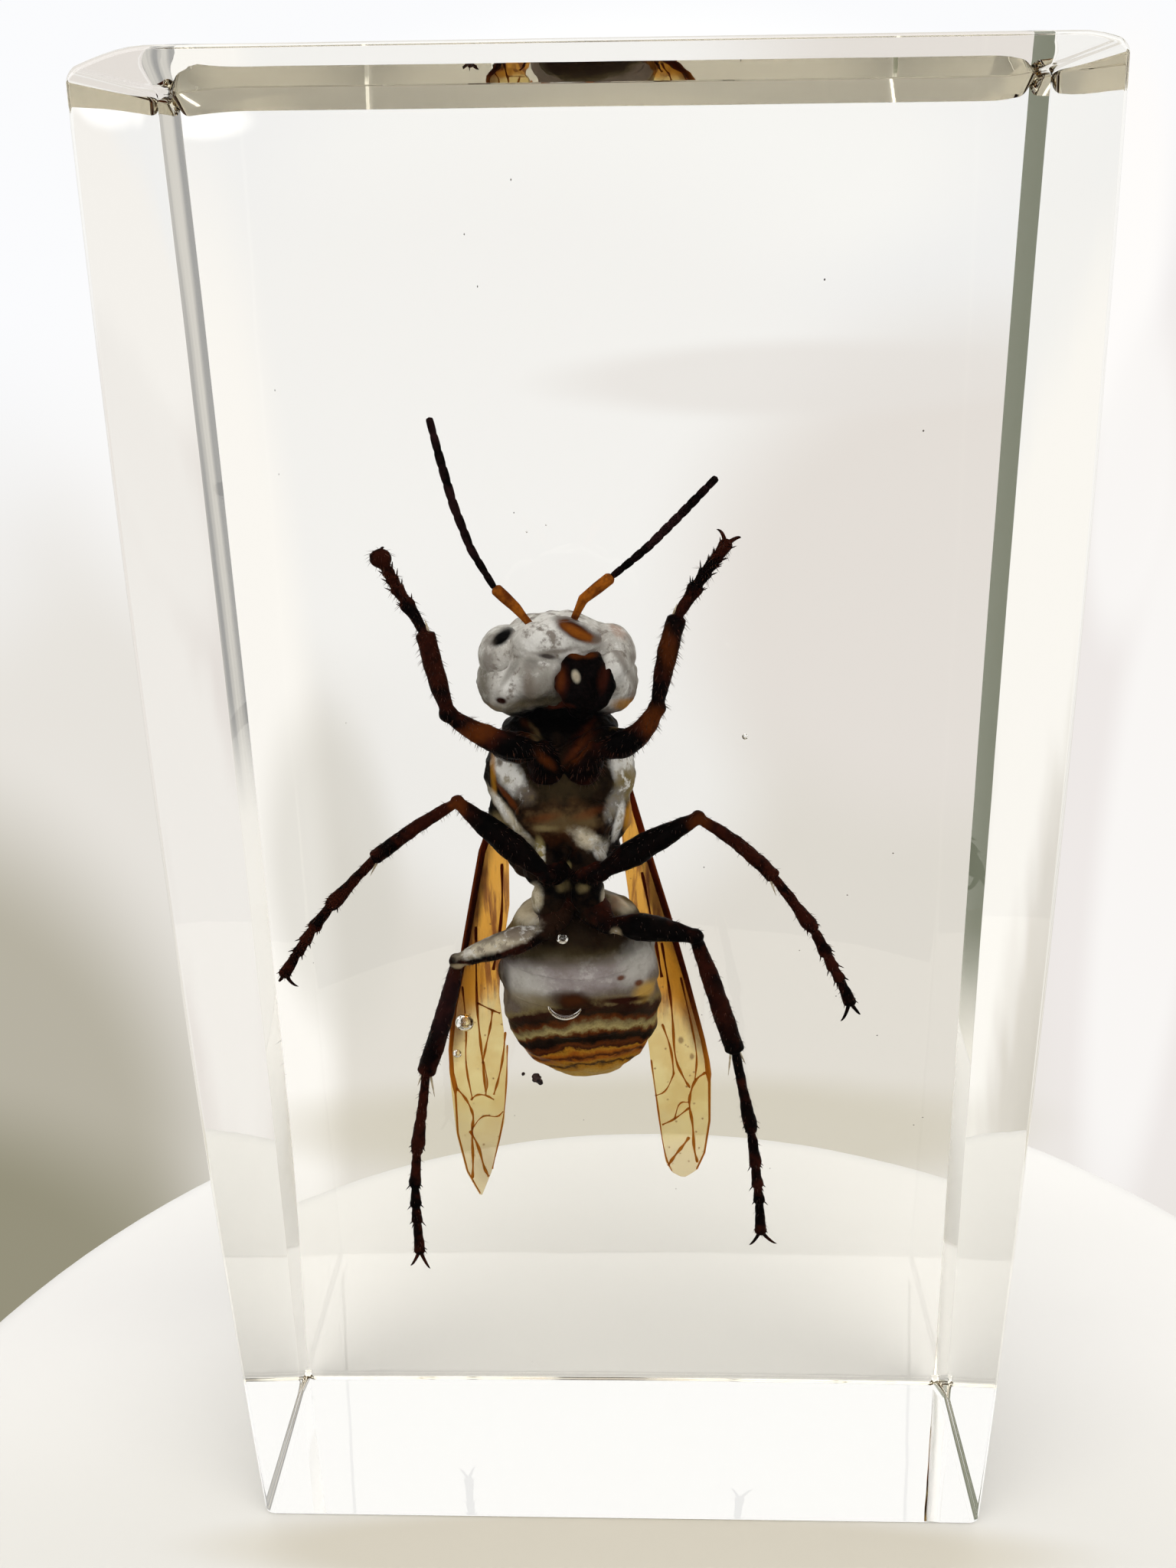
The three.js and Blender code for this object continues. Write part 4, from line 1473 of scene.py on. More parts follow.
@dataclass
class LegPair:
    """Two legs of a kind, with thighs, shins, jointed feet, spines, spurs and bristles."""

    name: str
    legs: tuple[Leg, Leg]
    thigh: float
    knee: float
    shin: float
    heel: float
    marks: tuple[Patch, ...]
    base: Tone = Tone.BLACK
    mottle: Tone = Tone.MAROON
    spurs: int = 1
    spur_length: float = 1.1
    bristle_density: float = 5.0
    bristle_length: float = 0.26
    seed: int = 1
    voxel: float = 0.065
    foot: tuple[float, ...] = (0.0, 0.45, 0.64, 0.75, 0.84, 1.0)

    def _limb(self, leg: Leg, form: Form) -> None:
        """Adds the fleshy parts of a leg.

        Args:
            leg: The leg.
            form: Where they go.
        """
        hip, ring, thigh, knee, shin, heel = [Vector(j) for j in leg.joints[:6]]
        form.tube([hip, hip.lerp(ring, 0.5), ring], [0.95, 0.85, 0.45], 16)
        form.balls(Ball(*ring, 0.48, 0.48, 0.48))
        self._sweep(form, (ring, thigh, knee), (0.38, self.thigh, self.thigh * 0.82, self.knee * 0.9))
        form.balls(Ball(*knee, self.knee, self.knee, self.knee))
        self._sweep(form, (knee, shin, heel), (self.knee * 0.75, self.shin, self.shin * 1.1, self.heel))

    @staticmethod
    def _sweep(form: Form, joints: tuple[Vector, Vector, Vector], radii: Sequence[float]) -> None:
        """Adds a swelling limb through three joints.

        Args:
            form: Where it goes.
            joints: Its start, a point near its middle and its end.
            radii: Radii at even steps along it.
        """
        start, middle, end = joints
        bend = middle * 2 - (start + end) / 2
        path, sizes = [], []
        for i in range(15):
            t = i / 14
            path.append(bow(start, bend, end, t))
            sizes.append(float(np.interp(t * (len(radii) - 1), range(len(radii)), radii)))
        form.tube(path, sizes, 16, 0.9)

    def _foot_points(self, leg: Leg) -> list[Vector]:
        """Finds the ends of the foot's joints, from the heel to the toe.

        Args:
            leg: The leg.

        Returns:
            One point for each share of the foot's length.
        """
        points = [Vector(j) for j in leg.joints[5:]]
        return [along(points, share) for share in self.foot]

    def _foot(self, leg: Leg, form: Form, spikes: Form, chance: random.Random) -> None:
        """Adds the jointed foot with its spines and claws.

        Args:
            leg: The leg.
            form: Where the joints go.
            spikes: Where the spines and claws go.
            chance: Seeded source of small differences.
        """
        points = self._foot_points(leg)
        for i, (start, end) in enumerate(zip(points, points[1:])):
            flare = 0.4 if i == 0 else 0.38 - 0.015 * i
            path = [start.lerp(end, t) for t in (0.0, 0.25, 0.6, 0.88, 1.0)]
            form.tube(path, [0.22, 0.26, 0.29, flare, flare * 0.8], 12)
            ahead = (end - start).normalized()
            side = ahead.orthogonal().normalized()
            for k in range(6):
                spin = Matrix.Rotation(2 * math.pi * (k + 0.3 * i) / 6, 3, ahead)
                out = spin @ side
                root = start.lerp(end, 0.92) + out * flare * 0.75
                reach = (ahead * 0.75 + out * 0.55).normalized() * chance.uniform(0.26, 0.42)
                spikes.tube([root, root + reach * 0.6, root + reach], [0.045, 0.03, 0.006], 5)
        toe = points[-1]
        form.balls(Ball(*toe, leg.toe, leg.toe * 0.9, leg.toe * 0.9))
        for tip in leg.claws:
            end = Vector(tip)
            bend = toe.lerp(end, 0.6) + (toe - points[-2]).normalized() * 0.28
            path = [bow(toe, bend, end, t) for t in np.linspace(0, 1, 8)]
            spikes.tube(path, [0.12, 0.115, 0.1, 0.09, 0.08, 0.065, 0.045, 0.01], 8)

    def _spurs(self, leg: Leg, form: Form) -> None:
        """Adds the pale spurs at the end of the shin.

        Args:
            leg: The leg.
            form: Where they go.
        """
        points = self._foot_points(leg)
        heel = points[0]
        ahead = (points[1] - heel).normalized()
        inward = Vector((-2.3 - heel.x, 0, 0)).normalized()
        for i in range(self.spurs):
            out = (inward * (1.0 if i == 0 else -0.5) + Vector((0, -0.5 + i, 0))).normalized()
            root = heel + out * 0.22
            reach = (ahead * 0.94 + out * 0.28).normalized() * self.spur_length * (1.0 - 0.2 * i)
            form.tube([root, root + reach * 0.5, root + reach], [0.075, 0.055, 0.01], 8)

    def build(self) -> None:
        """Makes the legs, their bristles and their spurs."""
        bristle = PlainFinish("bristle", Tone.UMBER, Tone.RUST, 4.0, 0.5).build()
        spur = PlainFinish("spur", Tone.BONE, Tone.CREAM, 3.0, 0.4).build()
        chance = random.Random(self.seed)
        flesh, spikes, pale = Form(), Form(), Form()
        for leg in self.legs:
            self._limb(leg, flesh)
            self._foot(leg, flesh, spikes, chance)
            self._spurs(leg, pale)
        limb = Workshop.fuse(flesh, self.voxel, 2)
        Workshop.dent(limb, lumps(1.6, 0.04))
        coat = Growth.grow(Growth.bristles(), limb.copy(), {
            "Density": self.bristle_density, "Length": self.bristle_length, "Thickness": 0.013,
            "Seed": self.seed, "Material": bristle,
        })
        skin = ShellFinish(f"{self.name}_shell", self.base, self.mottle, Tone.MAROON, self.marks,
                           relief=0.25, fine=12.0, wobble=1.6, reach=1.0).build()
        whole = Form()
        whole.take(limb)
        whole.take(spikes.mesh("spikes"))
        Workshop.piece(self.name, whole.mesh(self.name), skin)
        Workshop.piece(f"{self.name}_bristles", coat, bristle)
        Workshop.piece(f"{self.name}_spurs", pale.mesh("spurs"), spur)


@dataclass
class Antenna:
    """One feeler: an orange shaft, an elbow and a dark whip of short joints."""

    name: str
    joints: tuple[Triple, ...]
    shaft: float = 0.29
    whip: tuple[float, ...] = (0.16, 0.2, 0.215, 0.21, 0.17)
    beads: int = 11

    def build(self) -> None:
        """Makes the shaft and the whip."""
        points = [Vector(j) for j in self.joints]
        shaft = Form()
        root, mid, elbow = points[0], points[1], points[2]
        path = [root.lerp(mid, t) for t in (0.3, 0.7)] + [mid.lerp(elbow, t) for t in (0.0, 0.5, 0.92, 1.0)]
        shaft.tube(path, [0.17, 0.19, 0.25, self.shaft, self.shaft, 0.18], 16)
        mesh = Workshop.fuse(shaft, 0.05, 2)
        skin = ShellFinish(f"{self.name}_shaft_shell", Tone.ORANGE, Tone.RUST, Tone.MAROON, relief=0.2)
        Workshop.piece(f"{self.name}_shaft", mesh, skin.build())
        self._whip(points[2:])

    def _whip(self, points: list[Vector]) -> None:
        """Makes the whip of beads.

        Args:
            points: Its bends.
        """
        path, radii = [], []
        for bead in range(self.beads):
            for t, shape in ((0.02, 0.84), (0.15, 0.96), (0.6, 1.0), (0.9, 0.99), (0.98, 0.86)):
                share = (bead + t) / self.beads
                path.append(along(points, share))
                size = float(np.interp(share * (len(self.whip) - 1), range(len(self.whip)), self.whip))
                radii.append(size * shape)
        smoothed = [path[0]] + [(a + b * 2 + c) / 4 for a, b, c in zip(path, path[1:], path[2:])] + [path[-1]]
        form = Form()
        form.tube(smoothed, radii, 20)
        skin = ShellFinish(f"{self.name}_whip_shell", Tone.PLUM, Tone.BLACK, Tone.UMBER, relief=0.25,
                           fine=14.0, roughness=0.55)
        Workshop.piece(f"{self.name}_whip", form.mesh("whip"), skin.build())


@dataclass
class Wing:
    """A folded pair of wings on one side: the film, its veins and the thick front edge."""

    name: str
    outer: tuple[Pair, ...]
    inner: tuple[Pair, ...]
    veins: tuple[tuple[float, tuple[Pair, ...]], ...]
    edge: tuple[tuple[float, float, float], ...]
    finish: WingFinish
    depth: float = 2.6
    film: float = 0.035
    rows: int = 90
    columns: int = 14

    def _depth_at(self, x: float, z: float) -> float:
        """Place of the film in depth, with a lengthwise fold and a slow wave.

        Args:
            x: Across.
            z: Up.

        Returns:
            The depth.
        """
        return self.depth + 0.07 * math.sin(z * 0.55) + 0.05 * math.sin(x * 3.1 + z * 0.2)

    def _sheet(self) -> Mesh:
        """Makes the film as a thin closed sheet and returns the mesh."""
        lines = []
        for line in (self.outer, self.inner):
            places = list(reversed(line))
            lines.append(([p[1] for p in places], [p[0] for p in places]))
        levels = np.linspace(max(self.outer[0][1], self.inner[0][1]),
                             min(self.outer[-1][1], self.inner[-1][1]), self.rows)
        form = Form()
        rings = []
        for level in levels:
            ends = [float(np.interp(level, zs, xs)) for zs, xs in lines]
            ring = []
            for sign in (1, -1):
                shares = np.linspace(0, 1, self.columns)
                for share in shares if sign > 0 else shares[::-1]:
                    x = ends[0] + (ends[1] - ends[0]) * share
                    y = self._depth_at(x, level) + sign * self.film / 2
                    ring.append(Vector((x, y, level)))
            rings.append(ring)
        middle = [sum(ring, Vector()) / len(ring) for ring in (rings[0], rings[-1])]
        form.rings(rings, (middle[0], middle[1]))
        mesh = form.mesh("film")
        if self.outer[0][0] > self.inner[0][0]:
            mesh.flip_normals()
        return mesh

    def _lines(self) -> Mesh:
        """Makes the veins' polylines with a thickness on each point and returns the mesh."""
        points: list[Triple] = []
        edges: list[tuple[int, int]] = []
        thick: list[float] = []
        for size, line in self.veins:
            curve = self._rounded(line)
            start = len(points)
            for i, (x, z) in enumerate(curve):
                points.append((x, self._depth_at(x, z) - 0.02, z))
                thick.append(size * (1.35 + 0.5 * math.sin(i * 1.3)))
            edges.extend((start + i, start + i + 1) for i in range(len(curve) - 1))
        mesh = bpy.data.meshes.new("vein_lines")
        mesh.from_pydata(points, edges, [])
        values = mesh.attributes.new("thick", "FLOAT", "POINT")
        values.data.foreach_set("value", thick)
        return mesh

    @staticmethod
    def _rounded(line: Sequence[Pair]) -> list[Pair]:
        """Rounds a polyline by cutting its corners twice.

        Args:
            line: Its points.

        Returns:
            The rounded line.
        """
        points = [np.array(p) for p in line]
        for _ in range(2):
            cut = [points[0]]
            for a, b in zip(points, points[1:]):
                cut += [a * 0.75 + b * 0.25, a * 0.25 + b * 0.75]
            points = [*cut, points[-1]]
        return [(float(p[0]), float(p[1])) for p in points]

    def build(self) -> None:
        """Makes the film, the veins and the front edge."""
        vein = VeinFinish().build()
        Workshop.piece(f"{self.name}_film", self._sheet(), self.finish.build())
        tubes = Growth.grow(Growth.veins(), self._lines(), {"Thickness": 1.0, "Sides": 8, "Material": vein})
        Workshop.piece(f"{self.name}_veins", tubes, vein)
        rod = Form()
        path = [(x, self._depth_at(x, z), z) for x, z, _ in self.edge]
        rod.tube(path, [radius + 0.03 for _, _, radius in self.edge], 12, 0.7)
        Workshop.piece(f"{self.name}_front_edge", rod.mesh("edge"), vein)


@dataclass
class Specks:
    """Crumbs of shell and dust that hang in the resin."""

    lowest: Triple = (-17.0, -8.0, 4.0)
    highest: Triple = (17.0, 8.0, 69.0)
    count: int = 34
    size: float = 0.035

    def build(self) -> None:
        """Makes the dust and the crumbs."""
        material = PlainFinish("dust", Tone.UMBER, Tone.TAUPE, 6.0, 0.8).build()
        seed = bpy.data.meshes.new("seed")
        dust = Growth.grow(Growth.dust(), seed, {
            "Count": self.count, "Lowest": self.lowest, "Highest": self.highest, "Size": self.size,
            "Seed": 11, "Material": material,
        })
        crumbs = Form()
        crumbs.balls(
            Ball(-4.0, -1.5, 25.45, 0.26, 0.22, 0.27), Ball(-3.85, -1.5, 25.25, 0.16, 0.16, 0.2),
            Ball(-4.7, -1.5, 25.7, 0.13, 0.12, 0.1), sides=16,
        )
        Workshop.piece("dust", dust, material, ())
        brown = PlainFinish("crumb", Tone.MAROON, Tone.BLACK, 3.0, 0.6)
        shell_piece("crumbs", crumbs, (0.04, 1), (4.0, 0.06), brown, ())


# the places of the limbs


FORE_LEGS = LegPair(
    "fore_legs",
    (
        Leg(((-2.9, -2.3, 42.8), (-3.0, -3.4, 44.1), (-5.1, -4.0, 44.7), (-7.3, -4.2, 46.1), (-7.8, -3.8, 48.0),
             (-8.2, -3.4, 49.8), (-8.9, -3.0, 51.0), (-9.4, -2.8, 51.8), (-9.8, -2.7, 52.6),
             (-10.1, -2.6, 53.2)), ((-10.6, -2.5, 53.3), (-9.9, -2.5, 53.7)), 0.52),
        Leg(((-1.3, -2.3, 42.8), (-0.5, -3.4, 44.1), (1.2, -4.0, 44.7), (2.4, -4.2, 46.3), (2.8, -3.8, 48.4),
             (3.3, -3.4, 50.4), (4.1, -3.1, 51.6), (4.6, -2.9, 52.4), (5.1, -2.8, 53.0), (5.5, -2.7, 53.6)),
            ((5.1, -2.6, 54.3), (6.2, -2.6, 53.9))),
    ),
    thigh=0.76, knee=0.44, shin=0.48, heel=0.5, base=Tone.MAROON, mottle=Tone.BLACK,
    spur_length=0.7, bristle_density=13.0, bristle_length=0.3, seed=4,
    marks=(
        Patch(-2.1, 43.4, 2.4, 1.3, Tone.BLACK, edge=0.5, share=0.85),
        Patch(-3.1, 43.9, 0.9, 0.2, Tone.RUST, turn=50, edge=0.8, ragged=1.6, share=0.6),
        Patch(-1.3, 43.9, 0.8, 0.2, Tone.RUST, turn=-50, edge=0.8, ragged=1.6, share=0.5),
        Patch(-6.3, 45.0, 1.6, 0.5, Tone.RUST, turn=-30, edge=0.6, share=0.8),
        Patch(-4.2, 44.3, 1.0, 0.8, Tone.BLACK, edge=0.4),
        Patch(2.3, 45.6, 0.6, 0.8, Tone.RUST, turn=-20, edge=0.6, share=0.7),
        Patch(0.8, 44.6, 1.0, 0.8, Tone.BLACK, edge=0.4),
        Patch(2.9, 49.0, 0.4, 1.0, Tone.RUST, turn=-12, edge=0.7, share=0.5),
    ),
)

MID_LEGS = LegPair(
    "mid_legs",
    (
        Leg(((-2.8, -2.6, 37.8), (-3.0, -3.9, 37.8), (-5.1, -4.1, 39.8), (-7.1, -4.2, 41.7), (-9.3, -3.6, 40.2),
             (-11.4, -3.0, 38.5), (-13.7, -2.2, 36.0), (-15.0, -1.9, 34.3), (-16.0, -1.7, 32.8),
             (-16.7, -1.5, 31.7)), ((-17.1, -1.4, 31.2), (-16.1, -1.4, 30.9))),
        Leg(((-1.3, -2.6, 37.8), (-0.4, -3.9, 37.9), (1.9, -4.1, 39.4), (4.3, -4.2, 40.8), (6.2, -3.6, 39.3),
             (8.0, -3.0, 37.4), (10.0, -2.2, 34.5), (10.9, -1.9, 32.6), (11.6, -1.7, 31.2),
             (12.1, -1.5, 30.0)), ((11.7, -1.4, 28.8), (12.7, -1.4, 29.2))),
    ),
    thigh=0.8, knee=0.37, shin=0.36, heel=0.42, seed=7, bristle_density=7.0, bristle_length=0.22,
    marks=(
        Patch(-4.8, 39.6, 2.3, 0.95, Tone.BLACK, turn=43, edge=0.3, share=0.95),
        Patch(1.9, 39.3, 2.5, 0.95, Tone.BLACK, turn=-32, edge=0.3, share=0.95),
        Patch(-7.1, 41.5, 0.4, 0.5, Tone.RUST, edge=0.6, share=0.7),
        Patch(-8.4, 40.6, 1.0, 0.3, Tone.MAROON, turn=35, edge=0.6, share=0.8),
        Patch(4.4, 40.6, 0.5, 0.5, Tone.RUST, edge=0.6, share=0.6),
        Patch(6.2, 39.2, 1.2, 0.4, Tone.MAROON, turn=40, edge=0.6, share=0.8),
    ),
)

HIND_LEGS = LegPair(
    "hind_legs",
    (
        Leg(((-2.5, -2.0, 35.8), (-3.0, -3.7, 34.7), (-5.3, -3.9, 34.0), (-7.6, -3.8, 33.1), (-8.5, -3.1, 29.8),
             (-9.7, -2.4, 26.2), (-10.6, -1.6, 20.9), (-10.9, -1.4, 18.4), (-10.9, -1.2, 16.3),
             (-10.9, -1.0, 14.3)), ((-11.5, -0.9, 13.2), (-10.4, -0.9, 13.0))),
        Leg(((-1.2, -2.0, 35.9), (-0.1, -3.7, 35.0), (2.1, -3.9, 34.9), (4.2, -3.8, 34.4), (5.2, -3.1, 31.2),
             (6.3, -2.4, 27.5), (7.3, -1.6, 22.1), (7.6, -1.4, 19.4), (7.8, -1.2, 17.5), (7.9, -1.0, 15.7)),
            ((7.3, -0.9, 14.7), (8.8, -0.9, 14.8))),
    ),
    thigh=0.84, knee=0.43, shin=0.5, heel=0.56, spurs=2, spur_length=1.5, seed=9, bristle_density=5.0,
    bristle_length=0.22,
    marks=(
        Patch(2.0, 34.7, 2.2, 0.95, Tone.BLACK, turn=8, edge=0.3, share=0.95),
        Patch(-2.2, 35.0, 1.3, 1.0, Tone.UMBER, edge=0.5, share=0.8),
        Film(-5.6, 34.2, 1.9, 0.34, Tone.CREAM, turn=-20, edge=0.5, share=0.9),
        Film(-4.4, 34.9, 0.9, 0.4, Tone.TAUPE, turn=-15, edge=0.5, share=0.8),
        Patch(-7.4, 32.9, 0.5, 0.16, Tone.BONE, edge=0.5, share=0.8),
        Patch(-8.4, 30.5, 0.7, 2.0, Tone.PLUM, turn=15, edge=0.5, share=0.6),
        Film(0.35, 34.7, 0.25, 0.3, Tone.BONE, edge=0.5, share=0.7),
        Patch(5.6, 30.2, 0.6, 1.5, Tone.MAROON, turn=-15, edge=0.7, share=0.6),
    ),
)

FEELERS = (
    Antenna("left_antenna", ((-3.0, -1.8, 49.3), (-4.05, -2.4, 50.8), (-5.0, -2.4, 51.75), (-6.0, -2.2, 53.5),
                             (-6.7, -2.0, 55.5), (-7.2, -1.8, 57.5), (-7.6, -1.6, 59.3))),
    Antenna("right_antenna", ((-1.8, -1.8, 49.3), (-0.95, -2.4, 51.15), (0.4, -2.4, 52.2), (1.3, -2.3, 52.9),
                              (2.1, -2.2, 53.55), (3.5, -2.0, 54.9), (5.1, -1.8, 56.5))),
)

LEFT_WING = Wing(
    "left_wing",
    outer=((-5.4, 41.2), (-6.6, 37.5), (-7.78, 32.0), (-8.67, 28.25), (-9.0, 24.4), (-8.8, 20.4), (-8.37, 17.9),
           (-7.7, 16.4)),
    inner=((-4.9, 41.2), (-5.2, 37.5), (-5.3, 34.2), (-5.9, 30.8), (-6.05, 29.0), (-5.8, 25.2), (-6.09, 21.2),
           (-6.95, 17.9), (-7.55, 16.4)),
    veins=(
        (0.045, ((-7.1, 33.0), (-7.3, 28.5), (-7.23, 26.5), (-7.14, 24.9), (-7.06, 23.0))),
        (0.04, ((-7.3, 28.5), (-6.46, 28.05), (-6.06, 27.87))),
        (0.04, ((-6.46, 28.05), (-6.58, 27.2), (-6.89, 25.96), (-7.15, 24.78))),
        (0.04, ((-5.82, 26.7), (-6.01, 25.16), (-6.31, 23.83), (-6.61, 22.87))),
        (0.05, ((-8.65, 23.26), (-8.21, 22.73), (-7.91, 22.05), (-7.77, 21.42), (-7.93, 20.69), (-7.94, 18.76),
                (-8.04, 17.51))),
        (0.04, ((-7.88, 22.54), (-7.57, 22.87), (-7.07, 22.82), (-6.62, 22.53))),
        (0.055, ((-8.02, 20.59), (-7.6, 19.65), (-7.37, 18.21), (-7.14, 17.61))),
        (0.05, ((-5.6, 36.5), (-5.7, 33.5), (-6.3, 30.5))),
        (0.035, ((-8.0, 29.5), (-7.9, 27.0), (-8.1, 24.8), (-7.8, 22.6))),
        (0.03, ((-7.93, 20.69), (-7.3, 21.6), (-6.5, 21.4), (-6.15, 21.8))),
        (0.03, ((-7.1, 24.9), (-6.9, 23.6), (-7.07, 22.82))),
        (0.03, ((-5.75, 25.9), (-5.85, 24.0), (-6.1, 21.4), (-6.9, 18.1))),
    ),
    edge=((-5.3, 40.6, 0.2), (-6.6, 37.2, 0.24), (-7.7, 32.0, 0.24), (-8.5, 28.25, 0.17), (-8.85, 25.6, 0.14),
          (-8.85, 24.2, 0.15), (-8.72, 23.3, 0.18), (-8.72, 22.9, 0.06), (-8.72, 20.4, 0.05),
          (-8.3, 17.95, 0.04), (-7.66, 16.5, 0.03)),
    finish=WingFinish(
        "left_wing_film", 28.0,
        marks=(
            Patch(-8.15, 28.5, 0.55, 3.2, Tone.RUST, turn=12, edge=0.6, ragged=0.7, share=0.8),
            Patch(-7.3, 34.0, 0.5, 4.0, Tone.MAROON, turn=14, edge=0.5, ragged=0.5, share=0.9),
            Patch(-7.3, 18.3, 0.8, 1.1, Tone.BONE, edge=0.7, share=0.5),
            Patch(-7.4, 29.5, 0.5, 1.7, Tone.AMBER, turn=12, edge=0.6, share=0.7),
        ),
    ),
)

RIGHT_WING = Wing(
    "right_wing",
    outer=((1.0, 41.2), (2.17, 36.4), (3.03, 33.6), (3.95, 30.2), (4.9, 26.2), (5.24, 23.6), (5.22, 21.2),
           (4.95, 19.2), (4.5, 18.1), (3.85, 17.6)),
    inner=((0.4, 41.2), (0.7, 36.4), (1.1, 33.0), (1.5, 29.0), (1.9, 25.6), (2.0, 24.4), (2.42, 21.2),
           (2.75, 18.6), (3.1, 17.9), (3.6, 17.6)),
    veins=(
        (0.045, ((2.6, 32.0), (3.02, 29.2), (3.18, 27.3), (3.26, 25.05), (3.75, 23.9), (4.09, 23.3))),
        (0.04, ((2.61, 27.15), (3.1, 25.6), (3.22, 24.1))),
        (0.05, ((4.95, 24.2), (4.37, 23.8), (4.09, 22.9), (4.05, 22.15), (4.26, 21.04), (4.31, 19.5),
                (4.52, 18.6))),
        (0.04, ((4.05, 22.06), (3.25, 21.28), (2.58, 20.98))),
        (0.055, ((4.05, 20.2), (3.63, 19.5), (3.21, 18.9), (2.91, 18.35))),
        (0.05, ((1.6, 36.0), (2.3, 32.0), (2.6, 30.0))),
        (0.035, ((3.6, 30.0), (4.2, 27.0), (4.5, 25.2), (4.37, 23.8))),
        (0.03, ((3.22, 24.1), (2.8, 23.0), (2.2, 22.8))),
        (0.03, ((3.25, 21.28), (3.5, 22.4), (4.05, 22.4))),
        (0.03, ((2.0, 25.0), (2.3, 22.4), (2.7, 19.0), (3.1, 18.0))),
    ),
    edge=((1.0, 40.6, 0.2), (2.1, 36.4, 0.22), (2.9, 33.6, 0.22), (3.82, 30.2, 0.17), (4.78, 26.2, 0.14),
          (5.02, 24.9, 0.16), (5.1, 24.1, 0.18), (5.14, 23.6, 0.06), (5.16, 21.2, 0.05), (4.9, 19.2, 0.04),
          (4.48, 18.15, 0.035)),
    finish=WingFinish(
        "right_wing_film", 27.5,
        marks=(
            Patch(4.0, 28.6, 0.5, 3.2, Tone.RUST, turn=-14, edge=0.6, ragged=0.7, share=0.8),
            Patch(2.6, 33.6, 0.45, 3.6, Tone.MAROON, turn=-14, edge=0.5, ragged=0.5, share=0.8),
            Patch(3.1, 30.3, 0.5, 2.0, Tone.AMBER, turn=-14, edge=0.6, share=0.8),
            Patch(3.6, 26.2, 0.14, 0.2, Tone.RUST, edge=0.5, ragged=0.4, share=0.6),
            Patch(4.2, 25.2, 0.12, 0.18, Tone.RUST, edge=0.5, ragged=0.4, share=0.6),
        ),
    ),
)


# stage, light and camera


@dataclass(frozen=True)
class LightAndShadeSpot:
    """A soft spot of painted light and shade on the backdrop: its middle, half its size, its brightness and how
    far it is mixed in.
    """

    x: float
    z: float
    wide: float
    high: float
    tone: Triple
    share: float = 1.0


